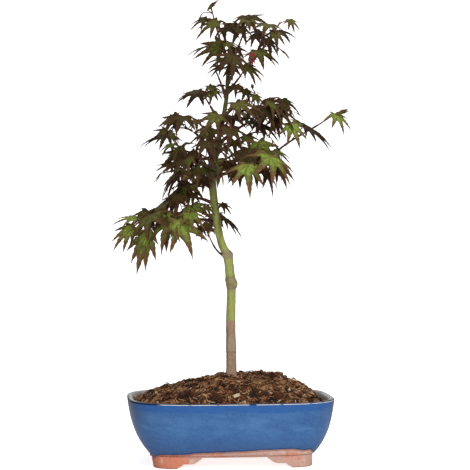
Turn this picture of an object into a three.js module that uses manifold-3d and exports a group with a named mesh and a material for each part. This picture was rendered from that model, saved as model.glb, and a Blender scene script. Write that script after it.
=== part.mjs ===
// Japanese maple grown as a young bonsai in a glazed stoneware pot.
// Millimetres, +Z up. The origin lies under the middle of the whole plant, at the level the feet stand on.
// The pot is square to X and Y. The tree stands in it turned by TREE_TURN, and its own frame has
// x to the right, y away from the viewer and z up, with headings counted in degrees from x towards y.
import * as THREE from "three";
import { mergeVertices } from "three/addons/utils/BufferGeometryUtils.js";
import Module from "manifold-3d";

const wasm = await Module();
wasm.setup();

// Clearance between pieces that touch on the real plant.
const GAP = 0.3;

// Pot: a bowed rectangle in plan, glazed above a bare clay foot ring with four bracket feet.
const POT = {
  width: 249,
  depth: 198,
  height: 79,
  wall: 7,
  lip: 2,
  squareness: 4,
  footSquareness: 9,
  sides: 40,
  wallRings: 4,
  flare: 8,
  belly: 17.4,
  footInset: 28.5,
  glazeFoot: 15,
  baseUnder: 13.5,
  floor: 21,
  footWidth: 13,
};

// Bracket foot seen from the front, as lengths from the corner: flat sole, ogee up to a shelf, rise to the base.
const FOOT = {
  sole: 28.5,
  shelfStart: 36,
  shelfEnd: 49,
  crownStart: 61,
  shelfHeight: 5.8,
  sideShare: 0.82,
};

// Soil heaped from just under the rim to the trunk.
const SOIL = {
  edge: 72,
  peak: 104,
  fullness: 0.95,
  rings: 4,
  seat: 12,
  hump: { x: 58, y: 34, height: 13, spread: 40 },
};

const TREE_TURN = THREE.MathUtils.degToRad(-5.5);

// Trunk spine as [height, sideways, depth], from the flat cut at the soil to the last fork.
const SPINE = [
  [104, 2.3, 0],
  [122, 2.2, 0],
  [171, 1.4, 1],
  [207, 1.8, 2],
  [219, 1.8, 2],
  [249, -2.4, 1],
  [263, -9.2, 0],
  [298, -16.0, -2],
  [344, -20.7, -1],
  [388, -14.0, 2],
  [437, -4.3, 1],
  [481, -1.8, -1],
];
const TRUNK = {
  baseRadius: 6.3,
  tipRadius: 2.1,
  flare: 2.6,
  flareHeight: 7,
  sides: 10,
  steps: 28,
  knobs: [
    { height: 142, swell: 0.5, spread: 3 },
    { height: 218, swell: 1.6, spread: 5.5 },
    { height: 250, swell: 1.4, spread: 5.5 },
    { height: 352, swell: 0.9, spread: 8 },
  ],
};

// One row for each bough and the foliage it ends in. The bough leaves the trunk at `height`, rises `arch` mm above
// a straight line and ends at `tip`; the leafy stem goes on to `end`, rising `lift` mm above a straight line.
// It bears leaves `leaf` mm long in `pairs`, hanging by `droop` degrees, the last ones `young` times as long, and
// `twist` turns its pairs about it. A row without a tip has no bough.
const BRANCHES = [
  { name: "leader", height: 481, end: [-22, -2, 550], lift: -3, pairs: 4, leaf: 42, droop: 16, young: 0.36,
    twist: 60, seed: 12 },
  { name: "top_right", height: 452, tip: [17, -6, 474], arch: -3,
    end: [60, -12, 530], lift: -4, pairs: 4, leaf: 38, droop: 26, young: 0.75, seed: 4 },
  { name: "far_right", height: 360, tip: [54, -4, 374], arch: 0,
    end: [122, -8, 404], lift: 7, pairs: 4, leaf: 38, droop: 20, young: 0.76, seed: 8 },
  { name: "upper_left", height: 362, tip: [-44, -8, 400], arch: 6,
    end: [-62, -12, 404], lift: 2, pairs: 2, leaf: 40, droop: 36, seed: 3 },
  { name: "low_left", height: 280, tip: [-46, -10, 283], arch: 0,
    end: [-102, -22, 290], lift: 4, pairs: 4, leaf: 52, droop: 44, seed: 31 },
  { name: "mid_left", height: 346, tip: [-42, 2, 358], arch: 0,
    end: [-70, 4, 396], lift: -3, pairs: 3, leaf: 36, droop: 26, seed: 10 },
  { name: "right_front", height: 343, tip: [8, -24, 350], arch: 2,
    end: [54, -44, 361], lift: 8, pairs: 4, leaf: 47, droop: 54, seed: 2 },
  { name: "right_upper", height: 384, tip: [24, -6, 412], arch: 2,
    end: [56, -12, 432], lift: 5, pairs: 3, leaf: 44, droop: 38, seed: 6 },
  { name: "right_middle", height: 372, tip: [14, 10, 392], arch: 2,
    end: [42, 22, 400], lift: 4, pairs: 3, leaf: 42, droop: 36, seed: 27 },
  { name: "twig_left", height: 407, tip: [-24, -2, 433], arch: 0,
    end: [-29, -3, 441], lift: 0, pairs: 1, leaf: 48, droop: 16, seed: 7 },
  { name: "left_hanging", height: 311, tip: [-42, 4, 320], arch: 2,
    end: [-58, 6, 326], lift: 3, pairs: 3, leaf: 38, droop: 46, seed: 12 },
  { name: "left_back", height: 288, tip: [-42, 30, 294], arch: 2,
    end: [-66, 50, 300], lift: 4, pairs: 3, leaf: 42, droop: 40, seed: 13 },
  { name: "knob_twig", height: 251, tip: [-26, -15, 277], arch: -5,
    end: [-29, -18, 284], lift: 0, pairs: 1, leaf: 26, droop: 60, seed: 14 },
  { name: "low_right", height: 292, tip: [-13, 15, 297], arch: 0,
    end: [-10, 22, 298], lift: 0, pairs: 1, leaf: 32, droop: 50, seed: 15 },
  { name: "front_middle", height: 356, tip: [-24, -24, 362], arch: 2,
    end: [-30, -50, 364], lift: 4, pairs: 3, leaf: 42, droop: 44, seed: 16 },
  { name: "mid_left_front", height: 330, tip: [-36, -20, 336], arch: 2,
    end: [-50, -40, 342], lift: 4, pairs: 3, leaf: 42, droop: 44, seed: 17 },
  { name: "mid_left_back", height: 338, tip: [-40, 28, 350], arch: 2,
    end: [-60, 50, 362], lift: 4, pairs: 3, leaf: 42, droop: 38, seed: 18 },
  { name: "right_back", height: 350, tip: [20, 28, 360], arch: 2,
    end: [54, 50, 366], lift: 5, pairs: 4, leaf: 46, droop: 44, seed: 19 },
  { name: "back_middle", height: 366, tip: [-12, 34, 378], arch: 2,
    end: [-18, 70, 384], lift: 5, pairs: 3, leaf: 44, droop: 40, seed: 20 },
  { name: "front_upper", height: 400, tip: [-4, -18, 408], arch: 1,
    end: [6, -46, 412], lift: 4, pairs: 3, leaf: 42, droop: 36, seed: 21 },
  { name: "back_upper", height: 418, tip: [2, 22, 428], arch: 1,
    end: [8, 48, 438], lift: 4, pairs: 3, leaf: 40, droop: 36, seed: 22 },
  { name: "crown_left", height: 442, tip: [-10, -6, 458], arch: 0,
    end: [-15, -9, 470], lift: 0, pairs: 2, leaf: 38, droop: 24, twist: 60, seed: 23 },
  { name: "crown_right", height: 460, tip: [6, -10, 472], arch: 0,
    end: [8, -22, 487], lift: 0, pairs: 2, leaf: 40, droop: 34, seed: 24 },
  { name: "top_middle", height: 470, tip: [6, 9, 492], arch: -2,
    end: [21, 12, 532], lift: 0, pairs: 3, leaf: 40, droop: 24, seed: 3 },
];

// Sizes shared by all boughs, stems and leaves.
const WOOD = {
  boughSides: 5,
  boughSteps: 3,
  boughRoot: 2.6,
  boughTip: 1.5,
  stemFoot: 1.4,
  stemTip: 0.8,
  stemSides: 3,
  petioleRadius: 0.6,
  petioleShare: 0.52,
};
const LEAF = {
  thickness: 1.6,
  umbrella: 0.26,
  forward: 0.6,
  lift: 0.16,
  sinus: 0.4,
  notch: 0.06,
  heart: 0.2,
  sunk: 3.5,
  young: 0.8,
  margin: 0.8,
  tries: 7,
  shrink: 0.03,
};
// Lobes of one leaf on one side of its middle lobe, as turns from it and lengths beside it.
const LOBES = [
  { turn: 0, reach: 1 },
  { turn: 36, reach: 0.9 },
  { turn: 74, reach: 0.68 },
  { turn: 118, reach: 0.38 },
];

const rad = THREE.MathUtils.degToRad;
const UP = new THREE.Vector3(0, 0, 1);

// A small repeatable dice: each call gives the next number from 0 to 1.
function dice(seed) {
  let state = seed * 7919;
  return () => {
    state = (Math.imul(state, 1664525) + 1013904223) >>> 0;
    return state / 4294967296;
  };
}

// A closed skin over steps + 1 rings: place(step, angle) gives a ring's points and middle(step) the cap centres.
function skin(steps, sides, place, middle) {
  const geometry = new THREE.CylinderGeometry(1, 1, steps, sides, steps);
  const at = geometry.getAttribute("position");
  for (let i = 0; i < at.count; i++) {
    const step = Math.round(at.getY(i) + steps / 2);
    const onAxis = Math.hypot(at.getX(i), at.getZ(i)) < 0.5;
    const angle = Math.atan2(-at.getZ(i), at.getX(i));
    const p = onAxis ? middle(step) : place(step, angle);
    at.setXYZ(i, p.x, p.y, p.z);
  }
  return geometry;
}

// A geometry as a solid that can be cut and joined, and the way back.
function solidOf(geometry) {
  const bare = geometry.clone();
  bare.deleteAttribute("normal");
  bare.deleteAttribute("uv");
  const merged = mergeVertices(bare, 1e-4);
  return new wasm.Manifold(
    new wasm.Mesh({
      numProp: 3,
      vertProperties: new Float32Array(merged.getAttribute("position").array),
      triVerts: new Uint32Array(merged.index.array),
    }),
  );
}

function geometryOf(solid) {
  const mesh = solid.getMesh();
  const geometry = new THREE.BufferGeometry();
  const position = new THREE.BufferAttribute(new Float32Array(mesh.vertProperties), 3);
  geometry.setAttribute("position", position);
  geometry.setIndex(new THREE.BufferAttribute(new Uint32Array(mesh.triVerts), 1));
  geometry.computeVertexNormals();
  return geometry;
}

// The largest body of a solid: scraps and sealed hollows are left behind.
function mainBody(solid) {
  const bodies = solid.decompose();
  return bodies.reduce((best, body) => (body.volume() > best.volume() ? body : best));
}

// Point of the pot's plan at an angle, inset from the rim. The plan is squarest at the feet.
function planPoint(angle, inset, z) {
  const down = 1 - Math.max(0, z - POT.glazeFoot) / (POT.height - POT.glazeFoot);
  const power = 2 / (POT.squareness + (POT.footSquareness - POT.squareness) * Math.min(1, down) ** 4);
  const along = (value) => (Math.abs(value) < 1e-6 ? 0 : Math.sign(value) * Math.abs(value) ** power);
  return new THREE.Vector3(
    (POT.width / 2 - inset) * along(Math.cos(angle)),
    (POT.depth / 2 - inset) * along(Math.sin(angle)),
    z,
  );
}

// How far the glazed wall has drawn in at a height.
function wallInset(z) {
  const down = (POT.height - z) / (POT.height - POT.glazeFoot);
  return POT.flare * down + POT.belly * down ** 3;
}

// Height of a ring of the inner wall.
function innerRing(i) {
  return POT.floor + ((POT.height - POT.lip - POT.floor) * i) / POT.wallRings;
}

// The pot's section as [inset, height] pairs, from the sole up the outside, over the lip and down inside.
function potSection() {
  const section = [
    [POT.footInset, 0],
    [POT.footInset, POT.glazeFoot],
  ];
  const top = POT.height - POT.lip;
  for (let i = 0; i <= POT.wallRings; i++) {
    const z = POT.glazeFoot + ((top - POT.glazeFoot) * i) / POT.wallRings;
    section.push([wallInset(z), z]);
  }
  section.push([POT.lip, POT.height], [POT.wall - POT.lip, POT.height]);
  for (let i = POT.wallRings; i >= 1; i--) {
    section.push([wallInset(innerRing(i)) + POT.wall, innerRing(i)]);
  }
  section.push([wallInset(POT.floor) + POT.wall + POT.lip, POT.floor]);
  return section;
}

// The gap between two feet on one side of the pot, as an extruded cut right through it.
function footGap(halfSide, share, through) {
  const from = (length) => halfSide - length * share;
  const outline = new THREE.Shape();
  outline.moveTo(-from(FOOT.sole), -1);
  outline.lineTo(from(FOOT.sole), -1);
  outline.lineTo(from(FOOT.sole), 0);
  outline.bezierCurveTo(
    from(FOOT.sole + 3), 0, from(FOOT.shelfStart - 3), FOOT.shelfHeight,
    from(FOOT.shelfStart), FOOT.shelfHeight,
  );
  outline.lineTo(from(FOOT.shelfEnd), FOOT.shelfHeight);
  outline.quadraticCurveTo(
    from(FOOT.shelfEnd + 5), FOOT.shelfHeight, from(FOOT.crownStart), POT.baseUnder,
  );
  outline.lineTo(-from(FOOT.crownStart), POT.baseUnder);
  outline.quadraticCurveTo(
    -from(FOOT.shelfEnd + 5), FOOT.shelfHeight, -from(FOOT.shelfEnd), FOOT.shelfHeight,
  );
  outline.lineTo(-from(FOOT.shelfStart), FOOT.shelfHeight);
  outline.bezierCurveTo(
    -from(FOOT.shelfStart - 3), FOOT.shelfHeight, -from(FOOT.sole + 3), 0,
    -from(FOOT.sole), 0,
  );
  const cut = new THREE.ExtrudeGeometry(outline, {
    depth: through, bevelEnabled: false, curveSegments: 3,
  });
  cut.translate(0, 0, -through / 2);
  return cut.rotateX(Math.PI / 2);
}

function potGeometry() {
  const section = potSection();
  const place = (step, angle) => planPoint(angle, ...section[step]);
  const middle = (step) => new THREE.Vector3(0, 0, section[step][1]);
  const body = solidOf(skin(section.length - 1, POT.sides, place, middle));
  const halfWidth = POT.width / 2 - POT.footInset;
  const halfDepth = POT.depth / 2 - POT.footInset;
  const frontGap = solidOf(footGap(halfWidth, 1, POT.depth));
  const sideGap = solidOf(footGap(halfDepth, FOOT.sideShare, POT.width).rotateZ(Math.PI / 2));
  // The hollow under the base leaves each foot an L-shaped bracket.
  const inset = POT.footInset + POT.footWidth;
  const heights = [-1, POT.baseUnder];
  const hollow = solidOf(
    skin(1, POT.sides / 2, (step, angle) => planPoint(angle, inset, heights[step]),
      (step) => new THREE.Vector3(0, 0, heights[step])),
  );
  return geometryOf(body.subtract(frontGap).subtract(sideGap).subtract(hollow));
}

// Height of the soil at a point, level where the trunk stands.
function soilHeight(x, y, share) {
  const heap = (SOIL.peak - SOIL.edge) * (1 - share ** 2) ** SOIL.fullness;
  const { hump } = SOIL;
  const away = ((x - hump.x) ** 2 + (y - hump.y) ** 2) / hump.spread ** 2;
  const free = Math.hypot(x - SPINE[0][1], y - SPINE[0][2]) / SOIL.seat;
  const level = SOIL.peak - GAP;
  const loose = SOIL.edge + heap + hump.height * Math.exp(-away) * (1 - share ** 2);
  return free <= 1.001 ? level : level + (loose - level) * Math.min(1, (free - 1) / 1.5);
}

function soilGeometry() {
  const bottom = POT.floor + GAP;
  const heights = [bottom, innerRing(1), innerRing(2), innerRing(3), SOIL.edge];
  const wallSteps = heights.length - 1;
  const steps = wallSteps + SOIL.rings;
  const insetAt = (z) => wallInset(z) + POT.wall + GAP;
  const place = (step, angle) => {
    if (step <= wallSteps) {
      const z = heights[step];
      return planPoint(angle, insetAt(z) + (step === 0 ? POT.lip : 0), z);
    }
    const rim = planPoint(angle, insetAt(SOIL.edge), SOIL.edge);
    const seat = new THREE.Vector3(SPINE[0][1], SPINE[0][2], 0);
    const inner = SOIL.seat / seat.distanceTo(rim.setZ(0));
    const share = 1 - (1 - inner) * (step - wallSteps) / SOIL.rings;
    const p = seat.lerp(rim, share);
    p.z = soilHeight(p.x, p.y, share);
    return p;
  };
  const middle = (step) =>
    new THREE.Vector3(SPINE[0][1], SPINE[0][2], step === 0 ? bottom : SOIL.peak - GAP);
  return skin(steps, POT.sides, place, middle);
}

// The trunk's spine and how thick it is at a height.
const spine = new THREE.CatmullRomCurve3(
  SPINE.map(([z, x, y]) => new THREE.Vector3(x, y, z)), false, "centripetal",
);
const ground = SPINE[0][0];
const crownTop = SPINE[SPINE.length - 1][0];

function trunkRadius(z) {
  const up = (z - ground) / (crownTop - ground);
  const taper = TRUNK.baseRadius + (TRUNK.tipRadius - TRUNK.baseRadius) * up ** 1.25;
  const foot = TRUNK.flare * Math.exp(-(z - ground) / TRUNK.flareHeight);
  const bump = (knob) => knob.swell * Math.exp(-(((z - knob.height) / knob.spread) ** 2));
  return TRUNK.knobs.reduce((sum, knob) => sum + bump(knob), taper + foot);
}

// A round limb along a curve, with radius(step, point) at each of its rings.
function limb(curve, steps, sides, radius) {
  const frames = curve.computeFrenetFrames(steps, false);
  const points = curve.getSpacedPoints(steps);
  const place = (step, angle) =>
    points[step].clone()
      .addScaledVector(frames.normals[step], Math.cos(angle) * radius(step, points[step]))
      .addScaledVector(frames.binormals[step], Math.sin(angle) * radius(step, points[step]));
  return skin(steps, sides, place, (step) => points[step]);
}

function trunkGeometry(extra) {
  const radius = (step, point) => trunkRadius(point.z) + extra;
  const geometry = limb(spine, TRUNK.steps, TRUNK.sides, radius);
  // The lowest ring is cut level with the soil.
  const at = geometry.getAttribute("position");
  for (let i = 0; i < at.count; i++) {
    if (at.getZ(i) < ground + 1) at.setZ(i, ground);
  }
  return geometry;
}

// The spine's point at a height, found by halving.
function spineAt(height) {
  let low = 0;
  let high = 1;
  for (let i = 0; i < 30; i++) {
    const half = (low + high) / 2;
    if (spine.getPoint(half).z < height) low = half;
    else high = half;
  }
  return spine.getPoint(low);
}

// The line that boughs and stems follow between two points, bowed up in the middle.
function bow(from, to, rise) {
  const middle = from.clone().lerp(to, 0.5).addScaledVector(UP, rise * 2);
  return new THREE.QuadraticBezierCurve3(from, middle, to);
}

// A straight tapering stick with few sides between two points.
function stick(a, b, radiusA, radiusB, sides) {
  const line = new THREE.LineCurve3(a, b);
  return limb(line, 1, sides, (step) => (step === 0 ? radiusA : radiusB));
}

// A leaf blade lying in its own plane: the stalk's end at the origin, the middle lobe along x, the face up z.
function leafGeometry(length, thickness) {
  const lobes = [
    ...LOBES.slice(1).reverse().map((lobe) => ({ ...lobe, turn: -lobe.turn })),
    ...LOBES,
  ];
  const outline = [];
  const add = (angle, radius) => {
    const fall = -LEAF.umbrella * length * (radius / length) ** 2;
    outline.push([radius * Math.cos(angle), radius * Math.sin(angle), fall]);
  };
  lobes.forEach((lobe, i) => {
    const turn = rad(lobe.turn);
    add(turn, lobe.reach * length);
    const next = lobes[i + 1];
    if (next) {
      const depth = LEAF.sinus * Math.min(1, 0.35 + Math.min(lobe.reach, next.reach));
      add((turn + rad(next.turn)) / 2, depth * length);
    }
  });
  add(Math.PI, LEAF.notch * length);
  const count = outline.length;
  // The blade is thickest at its heart, from which both faces fall to the edge.
  const heart = LEAF.heart * length;
  const sag = -LEAF.umbrella * LEAF.heart * heart;
  const points = [
    ...outline.flat(), heart, 0, sag + thickness / 2, heart, 0, sag - thickness / 2,
  ];
  const faces = [];
  for (let i = 0; i < count; i++) {
    const next = (i + 1) % count;
    faces.push(count, i, next, count + 1, next, i);
  }
  const geometry = new THREE.BufferGeometry();
  geometry.setAttribute("position", new THREE.Float32BufferAttribute(points, 3));
  geometry.setIndex(faces);
  return geometry;
}

// Stalk and blade of one leaf from a node of a stem. The blade hangs outwards from the stalk's end.
function leafPlan(node, way, side, size, droop, lean) {
  const stalk = way.clone().multiplyScalar(LEAF.forward).add(side);
  stalk.addScaledVector(UP, LEAF.lift).normalize();
  const end = node.clone().addScaledVector(stalk, size * WOOD.petioleShare);
  const out = new THREE.Vector3(stalk.x, stalk.y, 0).normalize();
  const rib = out.multiplyScalar(Math.cos(droop)).addScaledVector(UP, -Math.sin(droop));
  const across = new THREE.Vector3().crossVectors(UP, rib).normalize().applyAxisAngle(rib, lean);
  const face = new THREE.Vector3().crossVectors(rib, across);
  const frame = new THREE.Matrix4().makeBasis(rib, across, face).setPosition(end);
  return { node, end, rib, frame, size };
}

// One try at a leaf, by the seeded rule: pairs stand a quarter round from the pair before, a little at random.
function tryLeaf(row, stem, i, hand, shrink, roll) {
  const way = stem[i].clone().sub(stem[i - 1]).normalize();
  const level = new THREE.Vector3().crossVectors(UP, way).normalize();
  const round = (row.twist ?? 0) + (i % 2 ? 0 : 55) + 50 * (roll() - 0.5);
  const swing = 30 * (roll() - 0.5);
  const side = level.applyAxisAngle(way, rad(round)).applyAxisAngle(UP, rad(swing));
  const share = 1 - (1 - (row.young ?? LEAF.young)) * (i / row.pairs) ** 3;
  const size = row.leaf * share * shrink * (0.86 + 0.28 * roll());
  const droop = rad(row.droop + 34 * (roll() - 0.5));
  const lean = rad(56 * (roll() - 0.5));
  return leafPlan(stem[i], way, side.multiplyScalar(hand), size, droop, lean);
}

function bladeSolid(leaf, grow) {
  const blade = leafGeometry(leaf.size * (1 + grow * 0.03), LEAF.thickness + grow * LEAF.margin);
  return solidOf(blade.applyMatrix4(leaf.frame));
}

function stalkSolid(leaf, grow) {
  const tip = leaf.end.clone().addScaledVector(leaf.rib, LEAF.sunk);
  const radius = WOOD.petioleRadius + grow * LEAF.margin * 0.5;
  return solidOf(stick(leaf.node, tip, radius, radius, WOOD.stemSides));
}

function boxesMeet(a, b) {
  const one = a.boundingBox();
  const two = b.boundingBox();
  return [0, 1, 2].every((k) => one.min[k] <= two.max[k] && two.min[k] <= one.max[k]);
}

function touches(solid, others) {
  return others.some((other) => boxesMeet(solid, other) && !solid.intersect(other).isEmpty());
}

function stemSolid(stem, grow) {
  const last = stem.length - 1;
  const radius = (k) => WOOD.stemFoot + ((WOOD.stemTip - WOOD.stemFoot) * k) / last + grow;
  const lengths = stem.slice(1).map((point, k) =>
    solidOf(stick(stem[k], point, radius(k), radius(k + 1), WOOD.stemSides)),
  );
  return wasm.Manifold.union(lengths);
}

// One mass of foliage: a stem with its leaves fused on. A leaf takes the first of a few poses in which it is
// clear of all that has grown, and is skipped where there is none.
function foliageSolid(row, stem, others) {
  const roll = dice(row.seed);
  const pieces = [stemSolid(stem, 0)];
  const blades = [];
  for (let i = 1; i <= row.pairs; i++) {
    for (const hand of [-1, 1]) {
      for (let tries = 0; tries < LEAF.tries; tries++) {
        const leaf = tryLeaf(row, stem, i, hand, 1 - tries * LEAF.shrink, roll);
        const wide = bladeSolid(leaf, 1);
        if (touches(wide, others) || touches(wide, blades)) continue;
        if (touches(stalkSolid(leaf, 1), others)) continue;
        blades.push(bladeSolid(leaf, 0));
        pieces.push(stalkSolid(leaf, 0));
        break;
      }
    }
  }
  return mainBody(wasm.Manifold.union([...pieces, ...blades]));
}

const glaze = new THREE.MeshStandardMaterial({ color: 0x3f6ca8, roughness: 0.22, metalness: 0 });
const earth = new THREE.MeshStandardMaterial({ color: 0x4a3222, roughness: 0.95, metalness: 0 });
const bark = new THREE.MeshStandardMaterial({ color: 0x8c9150, roughness: 0.7, metalness: 0 });
const twig = new THREE.MeshStandardMaterial({ color: 0x6b3a2e, roughness: 0.65, metalness: 0 });
const foliage = new THREE.MeshStandardMaterial({ color: 0x4f4a25, roughness: 0.55, metalness: 0 });

function named(name, geometry, material) {
  const mesh = new THREE.Mesh(geometry, material);
  mesh.name = name;
  return mesh;
}

const plant = new THREE.Group();
plant.add(named("pot", potGeometry(), glaze));
plant.add(named("soil", soilGeometry(), earth));

const tree = new THREE.Group();
tree.rotation.z = TREE_TURN;
plant.add(tree);
tree.add(named("trunk", trunkGeometry(0), bark));

const trunkRoom = solidOf(trunkGeometry(GAP));
const limbs = [];
const shoots = [];
for (const row of BRANCHES) {
  const root = spineAt(row.height);
  const end = new THREE.Vector3(...row.end);
  let path = spine;
  if (row.tip) {
    path = bow(root, new THREE.Vector3(...row.tip), row.arch);
    const radius = (step) =>
      WOOD.boughRoot + ((WOOD.boughTip - WOOD.boughRoot) * step) / WOOD.boughSteps;
    const whole = solidOf(limb(path, WOOD.boughSteps, WOOD.boughSides, radius));
    const solid = mainBody(whole.subtract(trunkRoom));
    limbs.push(solid);
    tree.add(named(`bough_${row.name}`, geometryOf(solid), twig));
  }
  // The stem grows on from the limb's end, clear of it however it leans.
  const last = path.getPoint(1);
  const way = path.getTangent(1);
  const lean = Math.sin(bow(last, end, row.lift).getTangent(0).angleTo(way));
  const foot = last.clone().addScaledVector(way, GAP + WOOD.stemFoot * lean);
  shoots.push({ row, stem: bow(foot, end, row.lift).getSpacedPoints(row.pairs) });
}

const grown = [trunkRoom, ...limbs];
shoots.forEach(({ row, stem }, i) => {
  const stems = shoots.filter((other, k) => k > i).map((other) => stemSolid(other.stem, GAP));
  const solid = foliageSolid(row, stem, [...grown, ...stems]);
  grown.push(solid);
  tree.add(named(`foliage_${row.name}`, geometryOf(solid), foliage));
});

// The origin is set under the middle of the plant's own box.
const bounds = new THREE.Box3().setFromObject(plant, true);
const centre = bounds.getCenter(new THREE.Vector3());
plant.position.set(-centre.x, -centre.y, 0);

export default plant;
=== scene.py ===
"""Japanese maple bonsai in a blue glazed pot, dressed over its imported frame.

Everything is in metres, in the frame's own axes. The pot is modelled at its frame place. The tree is grown
in its own axes, in millimetres, by the rule that its solids were grown by, and set in the pot turned by
TREE_TURN.
"""

import math
from collections import namedtuple

import bmesh
import bpy
import numpy as np
from mathutils import Matrix, Quaternion, Vector, kdtree, noise
from mathutils.bvhtree import BVHTree


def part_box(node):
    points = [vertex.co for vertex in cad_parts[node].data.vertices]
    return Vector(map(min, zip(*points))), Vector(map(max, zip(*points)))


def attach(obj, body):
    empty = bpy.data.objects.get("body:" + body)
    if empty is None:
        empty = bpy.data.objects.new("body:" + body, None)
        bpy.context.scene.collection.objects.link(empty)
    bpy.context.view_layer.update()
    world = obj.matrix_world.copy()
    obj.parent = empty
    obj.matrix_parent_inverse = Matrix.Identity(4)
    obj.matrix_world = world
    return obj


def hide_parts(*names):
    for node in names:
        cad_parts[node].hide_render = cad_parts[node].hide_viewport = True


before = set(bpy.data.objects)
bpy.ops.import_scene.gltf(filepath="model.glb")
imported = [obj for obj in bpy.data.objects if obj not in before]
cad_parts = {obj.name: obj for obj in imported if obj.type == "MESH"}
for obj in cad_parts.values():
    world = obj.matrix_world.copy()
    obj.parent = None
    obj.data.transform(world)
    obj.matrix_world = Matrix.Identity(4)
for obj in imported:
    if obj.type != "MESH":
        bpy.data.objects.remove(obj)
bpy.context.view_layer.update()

bl_info = {
    "name": "Potted maple bonsai",
    "version": (1, 0, 0),
    "blender": (4, 5, 0),
    "location": "View3D > Sidebar > Bonsai",
    "description": "Models a young Japanese maple bonsai in a glazed pot, with bark, leaves and potting mix",
    "category": "Object",
}

MM = 0.001
UP = Vector((0, 0, 1))

# The pot stands square to the frame, and its middle is where the tree's own axes start.
POT_LOW, POT_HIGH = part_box("pot")
POT_MIDDLE = (POT_LOW + POT_HIGH) / 2
TREE_TURN = math.radians(-5.5)
TREE_PLACE = (
    Matrix.Translation((POT_MIDDLE.x, POT_MIDDLE.y, 0))
    @ Matrix.Rotation(TREE_TURN, 4, "Z")
    @ Matrix.Scale(MM, 4)
)

# Pot measures in millimetres, as on the solid: the wall draws in by flare and belly from lip to foot.
WALL = 7
FLARE = 8
BELLY = 17.4
FOOT_INSET = 28.5
GLAZE_FOOT = 15
BASE_UNDER = 12.9
FLOOR = 21
FOOT_WIDTH = 13
RIM_SQUARENESS = 3.6
WALL_SQUARENESS = 5.5
FOOT_SQUARENESS = 7
CORNER_SEGMENTS = 20
# Bracket foot seen from the front, as lengths from the corner.
SOLE = 27
SHELF_START = 35
SHELF_END = 46
CROWN_START = 58
SHELF_HEIGHT = 5.8
# On the pot's sides a foot is this share as long.
SIDE_SHARE = 0.82
# Foot's wall in section, as places inwards from its face and heights in metres.
FOOT_WALL = ((0.0006, 0.0), (0.0, 0.0006), (0.0, 0.0136), (-0.0006, 0.0144))
# Lip in section, as places inwards and drops below the rim. It is slightly crowned, because two rings at one
# height would be bridged crosswise.
LIP = (
    (0.0, 0.0018), (0.0005, 0.0007), (0.0016, 0.00015), (0.0030, 0.0), (0.0044, 0.00015), (0.0058, 0.0008),
    (0.0066, 0.0020),
)

# Heights above which the heap leaves its solid's shape and above which its surface is loose, and how much
# less than the rim's length and depth the loose bits cover.
HELD_TOP = 0.060
OPEN_TOP = 0.066
RIM_ROOM = 0.018
# A height well above the heap, from which things are dropped on it.
ABOVE = 0.2
# How far the heap lies lower or higher than its solid, as places along the pot and millimetres.
HEAP_SINKS = (
    (-118, 3.5), (-105, 1.5), (-90, 0.8), (-62, 4), (-24, 2.4), (0, 0), (20, 3), (45, 3.4), (60, 1.6),
    (72, 0), (100, 0), (109, 5), (118, 8),
)
HEAP_SWELLS = ((80, 0), (88, 2.6), (100, 2.6), (107, 0))
# Lumps of the heap's surface, as sizes and strengths.
HEAP_LUMPS = ((0.022, 0.0062), (0.0085, 0.0064), (0.0040, 0.0036))
# Chips and fibres in millimetres, with a chip's width and height beside its length, and how its corners
# wear. One chip in LONG_CHIP is twice as long, and one fibre in HIGH_FIBRE stands up twice as high. They lie
# in every direction, given in radians.
CHIP_LENGTHS = (0.9, 2.4)
CHIP_WIDTHS = (0.3, 0.8)
CHIP_HEIGHTS = (0.2, 0.5)
CHIP_CORNERS = (0.55, 1.1)
LONG_CHIP = 6
FIBRE_LENGTHS = (5.0, 16.0)
FIBRE_RADII = (0.32, 0.85)
HIGH_FIBRE = 30
HEADINGS = (0, 6.28)
# How dry a bit is where its sort changes from dark to brown, rusty and straw, and the share of pale bits.
SORT_LEVELS = (0.24, 0.48, 0.76)
PALE_SHARE = 0.02
SOIL_SEED = 41

# Trunk spine as height, sideways and depth in millimetres, from the soil to the last fork.
SPINE = [
    Vector((x, y, z))
    for z, x, y in (
        (104, 2.3, 0), (122, 2.2, 0), (171, 1.4, 1), (207, 2.2, 2), (219, 1.2, 2), (249, -2.4, 1),
        (263, -9.2, 0), (298, -16.0, -2), (344, -20.7, -1), (388, -14.0, 2), (437, -4.3, 1),
        (481, -1.8, -1),
    )
]
GROUND = SPINE[0].z
CROWN_TOP = SPINE[-1].z
BASE_RADIUS = 6.3
TIP_RADIUS = 2.1
ROOT_FLARE = 0.7
FLARE_HEIGHT = 7
# Knobs of the trunk as height, swell and spread.
KNOBS = (
    (134, 0.7, 1.6), (140, 0.3, 6), (218, 1.3, 6.5), (236, 0.6, 12), (249, 0.6, 6), (325, 0.6, 22),
    (352, 0.9, 8),
)
# Swellings on one side where shoots were cut off, as middles and half sizes, and a bough's collar.
CUT_KNOBS = (
    ((6.2, 0, 215), (3.9, 5.0, 6.4)),
    ((1.8, -1, 219), (6.6, 6.6, 7.0)),
    ((0.2, 0, 249), (4.4, 5.2, 7.0)),
    ((-7.0, -3, 250), (3.6, 3.4, 2.6)),
)
COLLAR = (3.4, 3.4, 3.8)
# Heights on the bark in metres: grey-brown nodes with their half heights, thin dark rings of painted shadow
# just under two knobs with the width of their soft edges, and a pale stretch.
BARK_NODES = ((0.2190, 0.005), (0.2545, 0.002))
KNOB_SHADOWS = ((0.1322, 0.0010), (0.2100, 0.0008))
PALE_FROM = 0.1325
PALE_TO = 0.140
# A bough's radius at its foot, what it loses to its tip, how much a joint swells it or a stem, and the steps
# that boughs and the trunk are drawn in.
BOUGH_FOOT = 2.9
BOUGH_LOSS = 1.45
JOINT_SWELL = 0.35
BOUGH_STEPS = 11
TRUNK_STEPS = 96
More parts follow.
